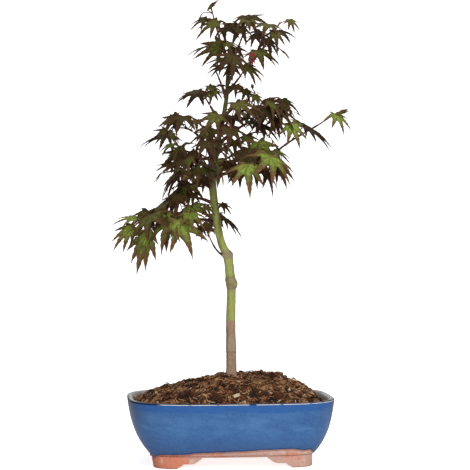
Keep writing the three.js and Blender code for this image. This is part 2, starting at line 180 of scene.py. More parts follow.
# Steps in which a curve is measured, the small step that gives its way at an end, and the angle up to which a
# limb counts as straight.
FINE_STEPS = 200
HAIR = 0.0001
STRAIGHT = 0.002
# Gap between a bough's end and its leafy stem, and the stem's radii.
GAP = 0.3
STEM_FOOT = 1.4
STEM_TIP = 0.8

# Each bough and the leafy stem that goes on from it, as on the solids, in millimetres and degrees. A row
# without a tip has no bough. bright is the share of its leaves in the brighter tones, and bare lists leaves
# of the solid that the tree has lost. thick, sag and rise change how the bough and the stem are drawn.
Branch = namedtuple(
    "Branch",
    "name seed height tip arch end lift pairs leaf droop bright bare young twist thick sag rise",
    defaults=((), 0.8, 0, 1, 0, 0),
)
BRANCHES = [
    Branch("leader", 12, 481, None, 0, (-22, -2, 550), -3, 4, 42, 16, 0, (1, 2, 5, 6, 7),
           young=0.36, twist=60),
    Branch("top_right", 4, 452, (17, -6, 474), -3, (60, -12, 530), -4, 4, 38, 26, 0.1, (1, 6, 7),
           young=0.75, thick=0.6),
    Branch("far_right", 8, 360, (54, -4, 374), 0, (122, -8, 404), 7, 4, 38, 20, 0.4, (0, 1, 2, 4, 5, 6, 7),
           young=0.76, rise=14),
    Branch("upper_left", 3, 362, (-44, -8, 400), 6, (-62, -12, 404), 2, 2, 40, 36, 0.2, (0, 2)),
    Branch("low_left", 31, 280, (-46, -10, 283), 0, (-102, -22, 290), 4, 4, 52, 44, 1, (2, 6, 7)),
    Branch("mid_left", 10, 346, (-42, 2, 358), 0, (-70, 4, 396), -3, 3, 36, 26, 0.3, (3, 5)),
    Branch("right_front", 2, 343, (8, -24, 350), 2, (54, -44, 361), 8, 4, 47, 54, 0.5, (4, 5)),
    Branch("right_upper", 6, 384, (24, -6, 412), 2, (56, -12, 432), 5, 3, 44, 38, 0, (3, 4)),
    Branch("right_middle", 27, 372, (14, 10, 392), 2, (42, 22, 400), 4, 3, 42, 36, 0.1, (1, 4, 5)),
    Branch("twig_left", 7, 407, (-24, -2, 433), 0, (-29, -3, 441), 0, 1, 48, 16, 0.2, (1,)),
    Branch("left_hanging", 12, 311, (-42, 4, 320), 2, (-58, 6, 326), 3, 3, 38, 46, 0.2),
    Branch("left_back", 13, 288, (-42, 30, 294), 2, (-66, 50, 300), 4, 3, 42, 40, 1),
    Branch("knob_twig", 14, 251, (-26, -15, 277), -5, (-29, -18, 284), 0, 1, 26, 60, 0.3, thick=0.5, sag=4),
    Branch("low_right", 15, 292, (-13, 15, 297), 0, (-10, 22, 298), 0, 1, 32, 50, 0, (0,)),
    Branch("front_middle", 16, 356, (-24, -24, 362), 2, (-30, -50, 364), 4, 3, 42, 44, 0.4),
    Branch("mid_left_front", 17, 330, (-36, -20, 336), 2, (-50, -40, 342), 4, 3, 42, 44, 0.35),
    Branch("mid_left_back", 18, 338, (-40, 28, 350), 2, (-60, 50, 362), 4, 3, 42, 38, 0.35),
    Branch("right_back", 19, 350, (20, 28, 360), 2, (54, 50, 366), 5, 4, 46, 44, 0.3, (2, 4)),
    Branch("back_middle", 20, 366, (-12, 34, 378), 2, (-18, 70, 384), 5, 3, 44, 40, 0.4, (0, 4)),
    Branch("front_upper", 21, 400, (-4, -18, 408), 1, (6, -46, 412), 4, 3, 42, 36, 0.45),
    Branch("back_upper", 22, 418, (2, 22, 428), 1, (8, 48, 438), 4, 3, 40, 36, 0.25, (1,)),
    Branch("crown_left", 23, 442, (-10, -6, 458), 0, (-15, -9, 470), 0, 2, 38, 24, 0.1, (0, 1), twist=60),
    Branch("crown_right", 24, 460, (6, -10, 472), 0, (8, -22, 487), 0, 2, 40, 34, 0.1),
    Branch("top_middle", 3, 470, (6, 9, 492), -2, (21, 12, 532), 0, 3, 40, 24, 0.1, (0,)),
]

# Single leaves set where the tree shows them, on stalks from the nearest wood: the blade's base, the way its
# middle lobe points (0 to the right, 180 to the left, -90 to the front), how far it hangs, how far it leans,
# its length, its colour, and how wide its lobes spread.
SINGLE_LEAVES = [
    ((-27, -2, 548), -20, -48, 60, 20, "olive", 0.22),
    ((-32, -4, 545), 205, 50, 30, 18, "olive", 0.22),
    ((-16, -8, 534), 196, 32, -30, 34, "olive", 1),
    ((-8, 0, 535), -30, 40, 0, 16, "bronze", 1),
    ((21, -6, 537), -80, 22, 0, 31, "olive", 1),
    ((73, -14, 535), -50, 50, 10, 20, "olive", 0.9),
    ((55, -18, 520), -75, 62, 0, 26, "olive", 0.9),
    ((32, -12, 517), -120, 40, 0, 24, "bronze", 1),
    ((-10, -10, 503), 188, 14, 40, 42, "olive", 1),
    ((-1, -4, 509), 170, -10, 30, 14, "bronze", 0.6),
    ((27, -30, 493), -90, 66, 0, 17, "red", 0.4),
    ((34, -14, 496), -12, 20, 10, 37, "olive", 0.7),
    ((19, -14, 480), -10, 36, 30, 34, "olive", 0.8),
    ((-6, -12, 508), -15, 28, 20, 30, "olive", 0.9),
    ((-9, -8, 479), 195, 15, 30, 24, "bronze", 1),
    ((3, -16, 479), -90, 58, 0, 22, "bronze", 1),
    ((-36, -10, 450), 190, 12, 8, 36, "olive", 1),
    ((-20, -14, 449), -110, 45, 0, 22, "olive", 1),
    ((-24, -10, 455), -25, 34, 20, 25, "olive", 1),
    ((-5, -4, 456), 180, -8, 20, 16, "bronze", 0.4),
    ((19, -6, 451), -50, 50, 0, 24, "bronze", 1),
    ((64, -14, 433), -50, 50, 0, 26, "bronze", 1),
    ((47, -26, 436), -35, 42, 0, 36, "olive", 0.8),
    ((31, -10, 444), -60, 50, 0, 20, "olive", 1),
    ((39, -10, 434), -10, -20, 60, 25, "bronze", 0.35),
    ((76, -10, 425), -20, 20, 0, 17, "bronze", 0.3),
    ((74, -22, 408), -35, 58, 30, 33, "green", 0.9),
    ((91, -8, 406), -5, 26, -10, 49, "bronze", 0.7),
    ((129, -8, 421), -52, 46, 0, 32, "green", 1),
    ((131, -8, 421), 0, -30, 60, 17, "olive", 0.22),
    ((-64, -12, 419), 195, 20, 30, 26, "olive", 1),
    ((-59, -16, 411), 200, 28, 20, 28, "olive", 1),
    ((-78, -16, 394), 190, 10, 10, 37, "bronze", 0.8),
    ((-74, -22, 396), -20, 14, -35, 24, "olive", 0.8),
    ((-27, -30, 403), -90, 62, 0, 26, "olive", 1),
    ((22, -62, 357), -90, 48, 0, 42, "green", 1),
    ((34, -40, 376), -100, 24, 0, 34, "olive", 1),
    ((51, -50, 366), -50, 44, 0, 32, "olive", 1),
    ((54, -24, 376), -20, 28, 20, 26, "olive", 0.9),
    ((-40, -10, 372), -80, 40, 0, 22, "bronze", 1),
    ((42, -48, 350), -45, 50, -10, 34, "bronze", 1),
    ((54, -46, 362), -30, 52, 30, 36, "bronze", 0.7),
    ((-62, -34, 336), 215, 30, 20, 24, "olive", 1),
    ((-54, -30, 336), -35, 35, -20, 26, "bronze", 1),
    ((-61, -36, 322), -95, 52, 0, 26, "bronze", 1),
    ((-114, -24, 295), 195, 5, -20, 30, "green", 1),
    ((-116, -30, 285), 200, 42, -35, 40, "green", 0.65),
    ((-96, -34, 281), -145, 66, -40, 55, "green", 0.42),
    ((-59, -44, 290), -30, 62, 40, 46, "green", 1.05),
    ((-47, -38, 301), -80, 40, 0, 32, "green", 1),
    ((-81, -20, 304), 190, 6, 10, 30, "bronze", 0.8),
    ((-77, -34, 301), -100, 30, 0, 26, "green", 1),
    ((-9, -12, 312), -25, 35, 20, 20, "bronze", 1),
    ((-9, -12, 296), -10, 32, 10, 36, "bronze", 0.6),
    ((-34, -16, 285), -90, 72, 0, 18, "bronze", 0.8),
    ((3, -30, 417), -90, 30, 0, 34, "bronze", 1),
    ((25, -30, 425), -60, 30, 0, 34, "bronze", 1),
    ((-35, -44, 354), -95, 35, 0, 34, "olive", 1),
    ((-53, -44, 364), -130, 30, 0, 34, "bronze", 1),
    ((28, -8, 452), 100, -70, 0, 9, "bronze", 0.3),
    ((30, -8, 450), -20, 25, 0, 10, "bronze", 0.3),
    ((8, -12, 456), -90, 55, 0, 20, "bronze", 1),
    ((6, -20, 388), -90, 50, 0, 24, "bronze", 1),
    ((22, -20, 394), -85, 50, 0, 24, "olive", 1),
    ((0, -30, 361), -95, 50, 0, 26, "bronze", 1),
    ((12, -36, 356), -85, 55, 0, 28, "olive", 1),
    ((-68, -20, 360), 195, 12, -30, 26, "bronze", 0.9),
    ((-30, -14, 342), -110, 50, 0, 22, "bronze", 1),
    ((-43, -14, 325), -100, 55, 0, 20, "bronze", 1),
    ((-28, -12, 309), -60, 45, 0, 18, "olive", 1),
    ((-40, -20, 413), -90, 45, 0, 18, "olive", 1),
    ((54, -14, 415), -60, 55, 0, 30, "bronze", 0.8),
]

# Lobes of a leaf on one side of its middle lobe, as turns from it and lengths beside it.
LOBES = ((0, 1.0), (36, 0.9), (74, 0.68), (118, 0.38))
# Edge of a lobe from its widest tooth to its drawn-out point, as places along it and half widths, beside its
# length.
LOBE_EDGE = ((0.46, 0.108), (0.55, 0.084), (0.61, 0.092), (0.69, 0.056), (0.75, 0.060), (0.88, 0.021))
SMALL_LOBE_EDGE = ((0.52, 0.150), (0.78, 0.060))
# Beside a leaf's length: how far its outer parts hang, how far out the gaps between its lobes start, the
# notch at its stalk, and the stalk. LOBE_FOLD is how far a lobe's edge stands up, beside its half width, and
# MID_BLADE is how far from rib to edge the leaf's colour changes.
UMBRELLA = 0.26
SINUS = 0.37
NOTCH = 0.06
PETIOLE_SHARE = 0.52
LOBE_FOLD = 0.40
MID_BLADE = 0.55
# Every second pair of leaves is turned. Each leaf's turn, swing, droop and lean and each lobe's turn vary by
# chance within so many degrees.
PAIR_TURN = 55
TURN_SPREAD = 50
SWING_SPREAD = 30
DROOP_SPREAD = 34
LEAN_SPREAD = 56
LOBE_SPREAD = 7
# Tries at a pose for one leaf, each a little smaller than the last, and how near the solid's its point is.
LEAF_TRIES = 7
LEAF_SHRINK = 0.03
SAME_POINT = 0.2
# A stalk longer than this is a thick one.
LONG_STALK = 30
# Seed of the single leaves' dice, and what is added to a row's seed for the dice of its leaves' looks.
SINGLE_SEED = 77
SPRAY_SEEDS = 500
TONES = ("green", "olive", "bronze", "red")
ZONES = ("heart", "blade", "margin", "tip")
# Colours of a leaf from its heart to its tip.
LEAF_TINTS = {
    "green": ((134, 160, 64), (120, 126, 58), (102, 96, 52), (116, 84, 56)),
    "olive": ((102, 108, 50), (90, 81, 40), (84, 64, 38), (86, 60, 41)),
    "bronze": ((74, 67, 34), (70, 53, 30), (67, 47, 29), (76, 51, 36)),
}

# Light from all round: white to the camera, but dim to the plant, so that round stems keep their dark edges.
# The floor's glow as the camera sees it keeps the pot's shadow faint. To the plant it glows as the air does.
AIR_LIGHT = 0.14
FLOOR_GLOW = 0.8
FLOOR_SIZE = (2.8, 5.5, 1)
FLOOR_SHIFT = (0, 0.75, 0)
BACKDROP_RISE = (0, 0, 6)
# Soft lights as name, place, aim, side and watts.
LIGHTS = (
    ("key_softbox", (0.62, -2.0, 1.3), (0, 0, 0.25), 0.6, 21.5),
    ("fill_softbox", (-0.5, -2.2, 0.7), (0, 0, 0.25), 0.7, 7),
    ("top_softbox", (0, -0.6, 2.4), (0, 0, 0), 1.2, 20.5),
    ("backdrop_light", (0, 1.7, 2.2), (0, 3.0, 0.6), 1.6, 12),
)


def srgb(red, green, blue):
    """A colour given as screen values from 0 to 255, as the linear light that a shader takes."""
    return tuple(
        (c / 255 / 12.92) if c < 11 else ((c / 255 + 0.055) / 1.055) ** 2.4 for c in (red, green, blue)
    )


def scaled(colour, times):
    return tuple(min(1, times * c) for c in colour)


def tint(name, description, red, green, blue):
    return bpy.props.FloatVectorProperty(
        name=name, description=description, subtype="COLOR", size=3, min=0, max=1,
        default=srgb(red, green, blue),
    )


def length(name, description, default):
    return bpy.props.FloatProperty(
        name=name, description=description, default=default, min=0, subtype="DISTANCE", unit="LENGTH",
    )


def count(name, description, default):
    return bpy.props.IntProperty(name=name, description=description, default=default, min=0)


class BonsaiPotSettings(bpy.types.PropertyGroup):
    width: length("Width", "Length of the pot along its rim", POT_HIGH.x - POT_LOW.x)
    depth: length("Depth", "Pot from front to back along its rim", POT_HIGH.y - POT_LOW.y)
    height: length("Height", "Rim above the shelf the pot stands on", POT_HIGH.z)
    glaze: tint("Glaze", "Blue glaze on the middle of the wall", 77, 121, 174)
    glaze_deep: tint("Deep glaze", "Glaze where it lies thicker", 50, 88, 143)
    # Dark rim glaze, also painted as shade on the lip's top at the front.
    rim_glaze_and_lip_shade: tint("Rim glaze", "Dark line of glaze under the lip", 18, 20, 36)
    # Painted highlight: the pale line along the lip's outer edge stands in for a lamp's glint there.
    lip_highlight: tint("Broken glaze", "Pale line where the glaze breaks over the lip", 226, 230, 236)
    inner: tint("Inner glaze", "Pale glaze inside the wall and on the lip", 214, 211, 213)
    clay: tint("Clay", "Bare fired clay of the feet", 224, 146, 116)
    clay_pale: tint("Pale clay", "Clay where it is dusty or rubbed", 216, 176, 160)


class BonsaiSoilSettings(bpy.types.PropertyGroup):
    # The dark crumbs' colour is also painted as shade in the gaps between crumbs of the heap.
    dark: tint("Dark crumbs", "Wet crumbs of the potting mix", 24, 15, 10)
    brown: tint("Brown crumbs", "Most of the potting mix", 92, 60, 39)
    rust: tint("Rusty fibres", "Coir and bark fibres", 156, 94, 60)
    straw: tint("Straw fibres", "Pale dry fibres", 206, 160, 114)
    pale: tint("Pale bits", "Bits of pumice and wood", 246, 230, 204)
    fibres: count("Fibres", "Loose fibres on the heap", 4600)
    chips: count("Chips", "Chips and crumbs on the heap", 1700)


class BonsaiBarkSettings(bpy.types.PropertyGroup):
    green: tint("Green bark", "Smooth bark of the stem", 172, 176, 98)
    # Painted shade of the crown on the upper stem.
    crown_shade_green: tint("Shaded green bark", "Bark of the stem inside the crown", 84, 82, 42)
    brown: tint("Brown bark", "Older bark above the soil", 182, 152, 124)
    scar: tint("Node bark", "Grey-brown bark of the nodes", 150, 132, 108)
    twig: tint("Twig bark", "Reddish bark of boughs and twigs", 104, 54, 42)
    twig_dark: tint("Dark twig bark", "Twig bark in older places", 66, 46, 30)
    stalk: tint("Leaf stalk", "Red leaf stalks", 132, 62, 54)
    brown_top: length("Brown up to", "Height at which brown bark gives way to green", 0.171)


class BonsaiLeafSettings(bpy.types.PropertyGroup):
    young_red: tint("Young red", "Newly opened leaf", 140, 46, 60)


for tone, colours in LEAF_TINTS.items():
    for zone, colour in zip(ZONES, colours):
        BonsaiLeafSettings.__annotations__[f"{zone}_{tone}"] = tint(
            f"{tone} {zone}".capitalize(), f"The {zone} of the {tone} leaves", *colour,
        )


class BonsaiStageSettings(bpy.types.PropertyGroup):
    floor: tint("Floor", "Pale floor and backdrop", 252, 252, 252)
    lens: bpy.props.FloatProperty(
        name="Lens", description="Focal length in millimetres", default=122.5, min=1,
    )
    distance: length("Camera distance", "Camera before the middle of the pot", 1.950)
    eye_height: length("Camera height", "Camera above the floor", 0.2746)
    eye_side: length("Camera aside", "Camera to the right of the pot's middle", 0.0067)


# Shader values written as sums


class Value:
    """The output of a shader node, which can be added to, scaled and mixed as a number can."""

    def __init__(self, finish, socket):
        self.finish = finish
        self.socket = socket

    def sum_with(self, operation, first, second):
        return self.finish.node("ShaderNodeMath", {"operation": operation}, {0: first, 1: second})

    def __add__(self, other):
        return self.sum_with("ADD", self, other)

    def __radd__(self, other):
        return self.sum_with("ADD", other, self)

    def __sub__(self, other):
        return self.sum_with("SUBTRACT", self, other)

    def __rsub__(self, other):
        return self.sum_with("SUBTRACT", other, self)

    def __mul__(self, other):
        return self.sum_with("MULTIPLY", self, other)

    def __rmul__(self, other):
        return self.sum_with("MULTIPLY", other, self)


class Finish:
    """A material with its principled shader, and the kinds of node that the finishes are written with."""

    def __init__(self, name, **uniform):
        self.material = bpy.data.materials.new(name)
        self.material.use_nodes = True
        self.tree = self.material.node_tree
        self.shader = self.tree.nodes["Principled BSDF"]
        for socket, value in uniform.items():
            self.shader.inputs[socket.replace("_", " ")].default_value = value

    def node(self, kind, settings, values, out=0):
        """Adds a node, gives it its settings, then its sockets' values or links, and returns an output."""
        made = self.tree.nodes.new(kind)
        for key, value in settings.items():
            if key == "stops":
                self.set_stops(made.color_ramp, value)
            else:
                setattr(made, key, value)
        for key, value in values.items():
            socket = made.inputs[key] if isinstance(key, int) else self.input_of(made, key)
            self.give(socket, value)
        shown = [s for s in made.outputs if s.enabled]
        return Value(self, shown[out] if isinstance(out, int) else made.outputs[out])

    def input_of(self, node, name):
        return next(s for s in node.inputs if s.enabled and s.name == name)

    def give(self, socket, value):
        if isinstance(value, Value):
            self.tree.links.new(value.socket, socket)
        elif socket.type == "RGBA":
            socket.default_value = (*value, 1)
        else:
            socket.default_value = value

    def set_stops(self, ramp, stops):
        ramp.elements[0].position, ramp.elements[1].position = stops[0][0], stops[-1][0]
        for place, _ in stops[1:-1]:
            ramp.elements.new(place)
        for element, (_, colour) in zip(ramp.elements, stops):
            element.color = (*colour, 1)

    def place(self):
        return self.node("ShaderNodeTexCoord", {}, {}, "Object")

    def axes(self, place):
        split = self.node("ShaderNodeSeparateXYZ", {}, {0: place}).socket.node
        return [Value(self, split.outputs[k]) for k in range(3)]

    def stretched(self, place, x, y, z):
        return self.node("ShaderNodeVectorMath", {"operation": "MULTIPLY"}, {0: place, 1: (x, y, z)})

    def tilted(self, place, share):
        """The place with its height raised along x, so that a pattern on it runs downhill to the right."""
        x, y, z = self.axes(place)
        return self.node("ShaderNodeCombineXYZ", {}, {0: x, 1: y, 2: z + x * share})

    def size_of(self, value):
        return self.node("ShaderNodeMath", {"operation": "ABSOLUTE"}, {0: value})

    def noise(self, place, scale, detail=3.0, roughness=0.5):
        values = {"Vector": place, "Scale": scale, "Detail": detail, "Roughness": roughness}
        return self.node("ShaderNodeTexNoise", {}, values, "Fac")

    def cells(self, place, scale):
        return self.node("ShaderNodeTexVoronoi", {}, {"Vector": place, "Scale": scale}, "Distance")

    def rise(self, value, low, high):
        """0 below low and 1 above high, with a smooth way between them."""
        values = {0: value, 1: low, 2: high, 3: 0.0, 4: 1.0}
        return self.node("ShaderNodeMapRange", {"interpolation_type": "SMOOTHSTEP"}, values)

    def band(self, value, middle, half, soft):
        """1 up to half from the middle, with edges soft wide outside that."""
        return self.rise(value, middle - half - soft, middle - half) * (
            1 - self.rise(value, middle + half, middle + half + soft)
        )

    def blend(self, factor, first, second):
        values = {"Factor": factor, "A": first, "B": second}
        return self.node("ShaderNodeMix", {"data_type": "RGBA"}, values)

    def layers(self, base, *coats):
        """Colours laid over a base one after another, each given as its share and itself."""
        for share, colour in coats:
            base = self.blend(share, base, colour)
        return base

    def ramp(self, factor, *stops):
        return self.node("ShaderNodeValToRGB", {"stops": stops}, {0: factor}, "Color")

    def seen(self):
        """1 where the camera looks straight at the surface and 0 to every other ray."""
        return self.node("ShaderNodeLightPath", {}, {}, "Is Camera Ray")

    def set(self, name, value):
        self.give(self.shader.inputs[name], value)

    def surface(self, colour, roughness, height=None, strength=0, distance=0):
        """Gives the shader its colour, roughness and relief, and returns the material."""
        self.set("Base Color", colour)
        self.set("Roughness", roughness)
        if height:
            values = {"Strength": strength, "Distance": distance, "Height": height}
            self.set("Normal", self.node("ShaderNodeBump", {}, values))
        return self.material


def glaze_finish(pot):
    """Blue glaze, deeper under the lip and darker towards the foot, with painted shade at the pot's two ends
    and a painted highlight along the front of the lip, ending in a wavy line on the feet's bare clay.
    """
    made = Finish("blue_glaze", IOR=1.45, Specular_IOR_Level=0.16, Coat_Roughness=0.1)
    place = made.place()
    x, y, z = made.axes(place)
    x = x - POT_MIDDLE.x
    aside = made.size_of(x)
    top = pot.height
    squat = made.stretched(place, 1, 1, 1.5)
    cloud = made.noise(place, 24, 4, 0.55)
    mottle = made.noise(squat, 150, 4, 0.65)
    streak = made.noise(made.stretched(made.tilted(place, 0.16), 18, 18, 90), 1.8, 3, 0.5)
    speck = made.noise(squat, 460, 3, 0.6)
    right = made.rise(x, 0.0, 0.004) * x
    edge = 0.0206 + x * 0.022 + right * 0.023 - (1 - made.rise(x, -0.058, -0.047)) * 0.0016
    edge = edge - made.rise(x, 0.066, 0.082) * 0.0032 - made.rise(aside, 0.088, 0.096) * 0.0050
    wave = made.noise(place, 30, 3) * 0.0024 + made.noise(place, 130, 2) * 0.0016 - 0.0020
    above = z - edge - wave
    glazed = made.rise(above, -0.0004, 0.0003)

    depth = cloud * 0.35 + mottle * 0.35 + streak * 0.20 + speck * 0.55 - 0.225
    haze = made.band(z + streak * 0.006, 0.057, 0.006, 0.012)
    haze = made.rise(cloud * 0.6 + streak * 0.5, 0.48, 0.72) * haze
    rim_edge = z + (cloud - 0.5) * 0.007 + (streak - 0.5) * 0.006
    under_rim = made.rise(rim_edge, top - 0.0125, top - 0.0085)
    # Darker towards the foot.
    low = 1 - made.rise(z + (cloud - 0.5) * 0.016, 0.016, 0.046)
    navy = made.rise(z + mottle * 0.0006, top - 0.0021, top - 0.0016)
    # Painted highlight: a thin pale line along the front of the lip, broken by noise and left off at the left
    # end.
    highlight_line = made.rise(made.noise(place, 75, 3), 0.36, 0.46) * made.rise(x, -0.094, -0.086)
    highlight_line = highlight_line * (1 - made.rise(y, POT_MIDDLE.y - 0.06, POT_MIDDLE.y - 0.04))
    blue = made.layers(
        pot.glaze_deep,
        (made.rise(depth, 0.12, 0.80), pot.glaze),
        (haze * 0.32, srgb(98, 146, 196)),
        (under_rim * 0.72, made.blend(mottle, srgb(30, 84, 158), srgb(52, 104, 172))),
        (low * 0.55, made.blend(mottle, srgb(50, 76, 122), srgb(68, 96, 148))),
        # Painted shade: the glaze darkens at the pot's two ends, where the wall turns away.
        (made.rise(aside, 0.109, 0.124) * 0.70, srgb(34, 50, 86)),
        (navy * 0.85, pot.rim_glaze_and_lip_shade),
        (made.band(z, top - 0.0014, 0.0003, 0.0002) * highlight_line * 0.9, pot.lip_highlight),
        (made.band(above, 0.0007, 0.0004, 0.0012) * 0.6, srgb(30, 48, 88)),
    )

    grit = made.noise(place, 340, 5, 0.7)
    between = 1 - made.rise(aside, 0.046, 0.062)
    # Pale clay in patches by chance, with more of it towards the pot's right end and between the feet.
    pale_patches = made.rise(made.noise(place, 48, 4, 0.6) + x * 1.8 + between * 0.12, 0.40, 0.64)
    under_glaze = made.band(above, -0.0011, 0.0003, 0.0010)
    # Painted shadow: a dark line at 14.8 mm under the ledge where the wall meets the feet, added to the dark
    # clay just under the glaze's edge.
    joint = under_glaze + made.band(z, 0.0148, 0.0003, 0.0006) * made.rise(grit, 0.3, 0.5)
    clay = made.layers(
        pot.clay,
        (pale_patches, pot.clay_pale),
        (made.rise(grit, 0.54, 0.70) * 0.55, srgb(178, 98, 72)),
        (made.rise(made.noise(place, 90, 4, 0.7), 0.54, 0.68) * 0.6, srgb(240, 212, 196)),
        (joint * 0.6, srgb(130, 78, 60)),
        # Painted shade along the bottom edge of the feet, where they meet the floor.
        ((1 - made.rise(z, 0.0003, 0.0018)) * 0.6, srgb(112, 76, 62)),
    )
    made.set("Coat Weight", glazed * 0.05)
    relief = glazed * 0.6 + (1 - glazed) * grit * 0.35 + mottle * 0.06 + speck * 0.02
    roughness = 0.9 - glazed * (0.55 - speck * 0.15)
    return made.surface(made.blend(glazed, clay, blue), roughness, relief, 0.5, 0.0008)


def inner_finish(pot):
    """Pale glaze inside the wall, with the lip's top dark at the front, where it is in the heap's shade."""
    made = Finish("inner_glaze", IOR=1.45, Coat_Weight=0.2, Coat_Roughness=0.15)
    place = made.place()
    _, y, z = made.axes(place)
    cloud = made.noise(place, 80, 4)
    stain = 1 - made.rise(z + cloud * 0.004, pot.height - 0.009, pot.height - 0.004)
    # Painted shade: the lip's top darkens at the front, where the heap shades it.
    front = 1 - made.rise(y + cloud * 0.01, POT_MIDDLE.y - 0.070, POT_MIDDLE.y - 0.040)
    pale = made.layers(
        pot.inner,
        (cloud, srgb(140, 138, 146)),
        (stain * 0.5, srgb(112, 96, 86)),
        (front * 0.92, pot.rim_glaze_and_lip_shade),
    )
    return made.surface(pale, 0.34 + cloud * 0.2, cloud, 0.15, 0.0004)


def mix_finish(name, first, second, scale, shine=0.0):
    """One sort of crumb or fibre of the potting mix: its colour wanders between two tones."""
    made = Finish(name, Specular_IOR_Level=0.25 + shine)
    cloud = made.noise(made.place(), scale, 4, 0.6)
    return made.surface(made.blend(made.rise(cloud, 0.35, 0.65), first, second), 0.98 - cloud * 0.2)


def heap_finish(soil):
    """The heap under the loose bits: dark patches, brown crumbs and rusty patches, with painted shade in the
    gaps between the crumbs.
    """
    made = Finish("potting_mix", Specular_IOR_Level=0.2)
    place = made.place()
    crumbs = made.cells(place, 420)
    fine = made.noise(place, 700, 3, 0.7)
    tone = made.noise(place, 90, 5, 0.65) * 0.8 + fine * 0.5 - 0.27
    earth = made.ramp(tone, (0.20, soil.dark), (0.45, soil.brown), (0.62, soil.rust), (0.85, soil.straw))
    # Painted shade in the gaps between crumbs.
    earth = made.blend(made.rise(crumbs, 0.2, 0.8) * 0.5, earth, soil.dark)
    return made.surface(earth, 0.9 + fine * 0.1, crumbs * 0.5 + fine * 0.5, 0.8, 0.0015)


def bark_finish(bark):
    """Green stem bark, grey-brown near the soil and at its nodes, with fine upright cracks and pale dots."""
    made = Finish("stem_bark", Specular_IOR_Level=0.35)
    place = made.place()
    z = made.axes(place)[2]
    streak = made.noise(made.stretched(place, 1, 1, 0.12), 900, 4, 0.6)
    shade = made.noise(made.stretched(place, 1, 1, 0.05), 190, 2)
    mottle = made.noise(place, 260, 4, 0.6)
    green = made.layers(
        bark.green,
        (made.rise(mottle, 0.3, 0.7) * 0.5, srgb(138, 146, 70)),
        (made.rise(shade, 0.50, 0.68) * 0.55, srgb(112, 120, 56)),
        # Painted shade: the stem darkens upwards into the crown, where the leaves shade it.
        (made.rise(z, 0.275, 0.36), bark.crown_shade_green),
    )
    brown = made.layers(
        bark.brown,
        (made.rise(mottle, 0.35, 0.65) * 0.6, srgb(136, 110, 90)),
        (made.rise(shade, 0.48, 0.64) * 0.6, srgb(128, 106, 92)),
        (made.rise(streak, 0.50, 0.70) * 0.5, srgb(188, 166, 142)),
    )
    old = 1 - made.rise(z + mottle * 0.004, bark.brown_top + 0.0005, bark.brown_top + 0.003)
    scars = sum(made.band(z + mottle * 0.008, middle, half, 0.006) for middle, half in BARK_NODES)
    pale = made.rise(z, PALE_FROM, PALE_FROM + 0.0013)
    pale = pale * (1 - made.rise(z + mottle * 0.006, PALE_TO, PALE_TO + 0.020))
    # Painted shadow: thin dark rings just under the knobs, at 132 and 210 mm.
    rings = sum(made.band(z, middle, 0.0004, soft) for middle, soft in KNOB_SHADOWS)
    dots = 1 - made.rise(made.cells(made.stretched(place, 1, 1, 0.6), 330), 0.10, 0.18)
    colour = made.layers(
        green,
        (old, brown),
        (scars * 0.75, bark.scar),
        (pale * 0.45, srgb(178, 166, 138)),
        (rings * 0.35, srgb(92, 72, 56)),
        (dots * 0.35, srgb(190, 178, 140)),
    )
    relief = streak * (0.25 + old * 0.75) + dots * 0.3
    return made.surface(colour, 0.52 + old * 0.2 + streak * 0.15, relief, 0.5, 0.0004)


def twig_finish(name, first, second):
    """Young bark that wanders between two tones, with fine pale dots."""
    made = Finish(name, Specular_IOR_Level=0.4)
    place = made.place()
    fine = made.noise(place, 1400, 2)
    colour = made.blend(made.rise(made.noise(place, 120, 4, 0.6), 0.35, 0.65), first, second)
    return made.surface(colour, 0.45 + fine * 0.3, fine, 0.3, 0.0003)


def leaf_finish(name, colour, next_colour):
    """One leaf colour with blotches of the colour next to it on the leaf, on a crinkled satin surface."""
    made = Finish(name, Specular_IOR_Level=0.08)
    place = made.place()
    fleck = made.noise(place, 420, 4, 0.7)
    spots = made.rise(made.noise(place, 210, 3, 0.6), 0.50, 0.62) * 0.75
    dark, light = (
        made.blend(spots, scaled(colour, times), scaled(next_colour, times)) for times in (0.70, 1.35)
    )
    shade = made.blend(made.rise(fleck, 0.30, 0.75), dark, light)
    return made.surface(shade, 0.46 + fleck * 0.25, made.noise(place, 260, 4, 0.6), 0.55, 0.0012)


# Modelling by hand in edit mode


def clear_selection():
    if bpy.context.object and bpy.context.object.mode != "OBJECT":
        bpy.ops.object.mode_set(mode="OBJECT")
    bpy.ops.object.select_all(action="DESELECT")


def pick(piece):
    clear_selection()
    piece.select_set(True)
    bpy.context.view_layer.objects.active = piece


def edit(piece):
    """Opens the piece in edit mode with all of it selected."""
    pick(piece)
    bpy.ops.object.mode_set(mode="EDIT")
    bpy.ops.mesh.select_mode(type="VERT")
    bpy.ops.mesh.select_all(action="SELECT")


def leave():
    bpy.ops.object.mode_set(mode="OBJECT")


def turn_outwards():
    """Turns every face of the closed shape outwards and leaves edit mode."""
    bpy.ops.mesh.select_all(action="SELECT")
    bpy.ops.mesh.normals_make_consistent(inside=False)
    leave()


def select(piece, kind, wanted):
    """Selects the points ("VERT") or edges ("EDGE") of the piece in edit mode for which wanted is true."""
    bpy.ops.mesh.select_mode(type=kind)
    bpy.ops.mesh.select_all(action="DESELECT")
    shape = bmesh.from_edit_mesh(piece.data)
    for part in shape.verts if kind == "VERT" else shape.edges:
        part.select = wanted(part)
    shape.select_flush_mode()
    bmesh.update_edit_mesh(piece.data)


def settle(piece):
    """Puts the piece's place into its mesh."""
    pick(piece)
    bpy.ops.object.transform_apply(location=True, rotation=True, scale=True)


def modify(piece, kind, **settings):
    """Adds one modifier and applies it."""
    pick(piece)
    added = piece.modifiers.new(kind.lower(), kind)
    for key, value in settings.items():
        setattr(added, key, value)
    bpy.ops.object.modifier_apply(modifier=added.name)


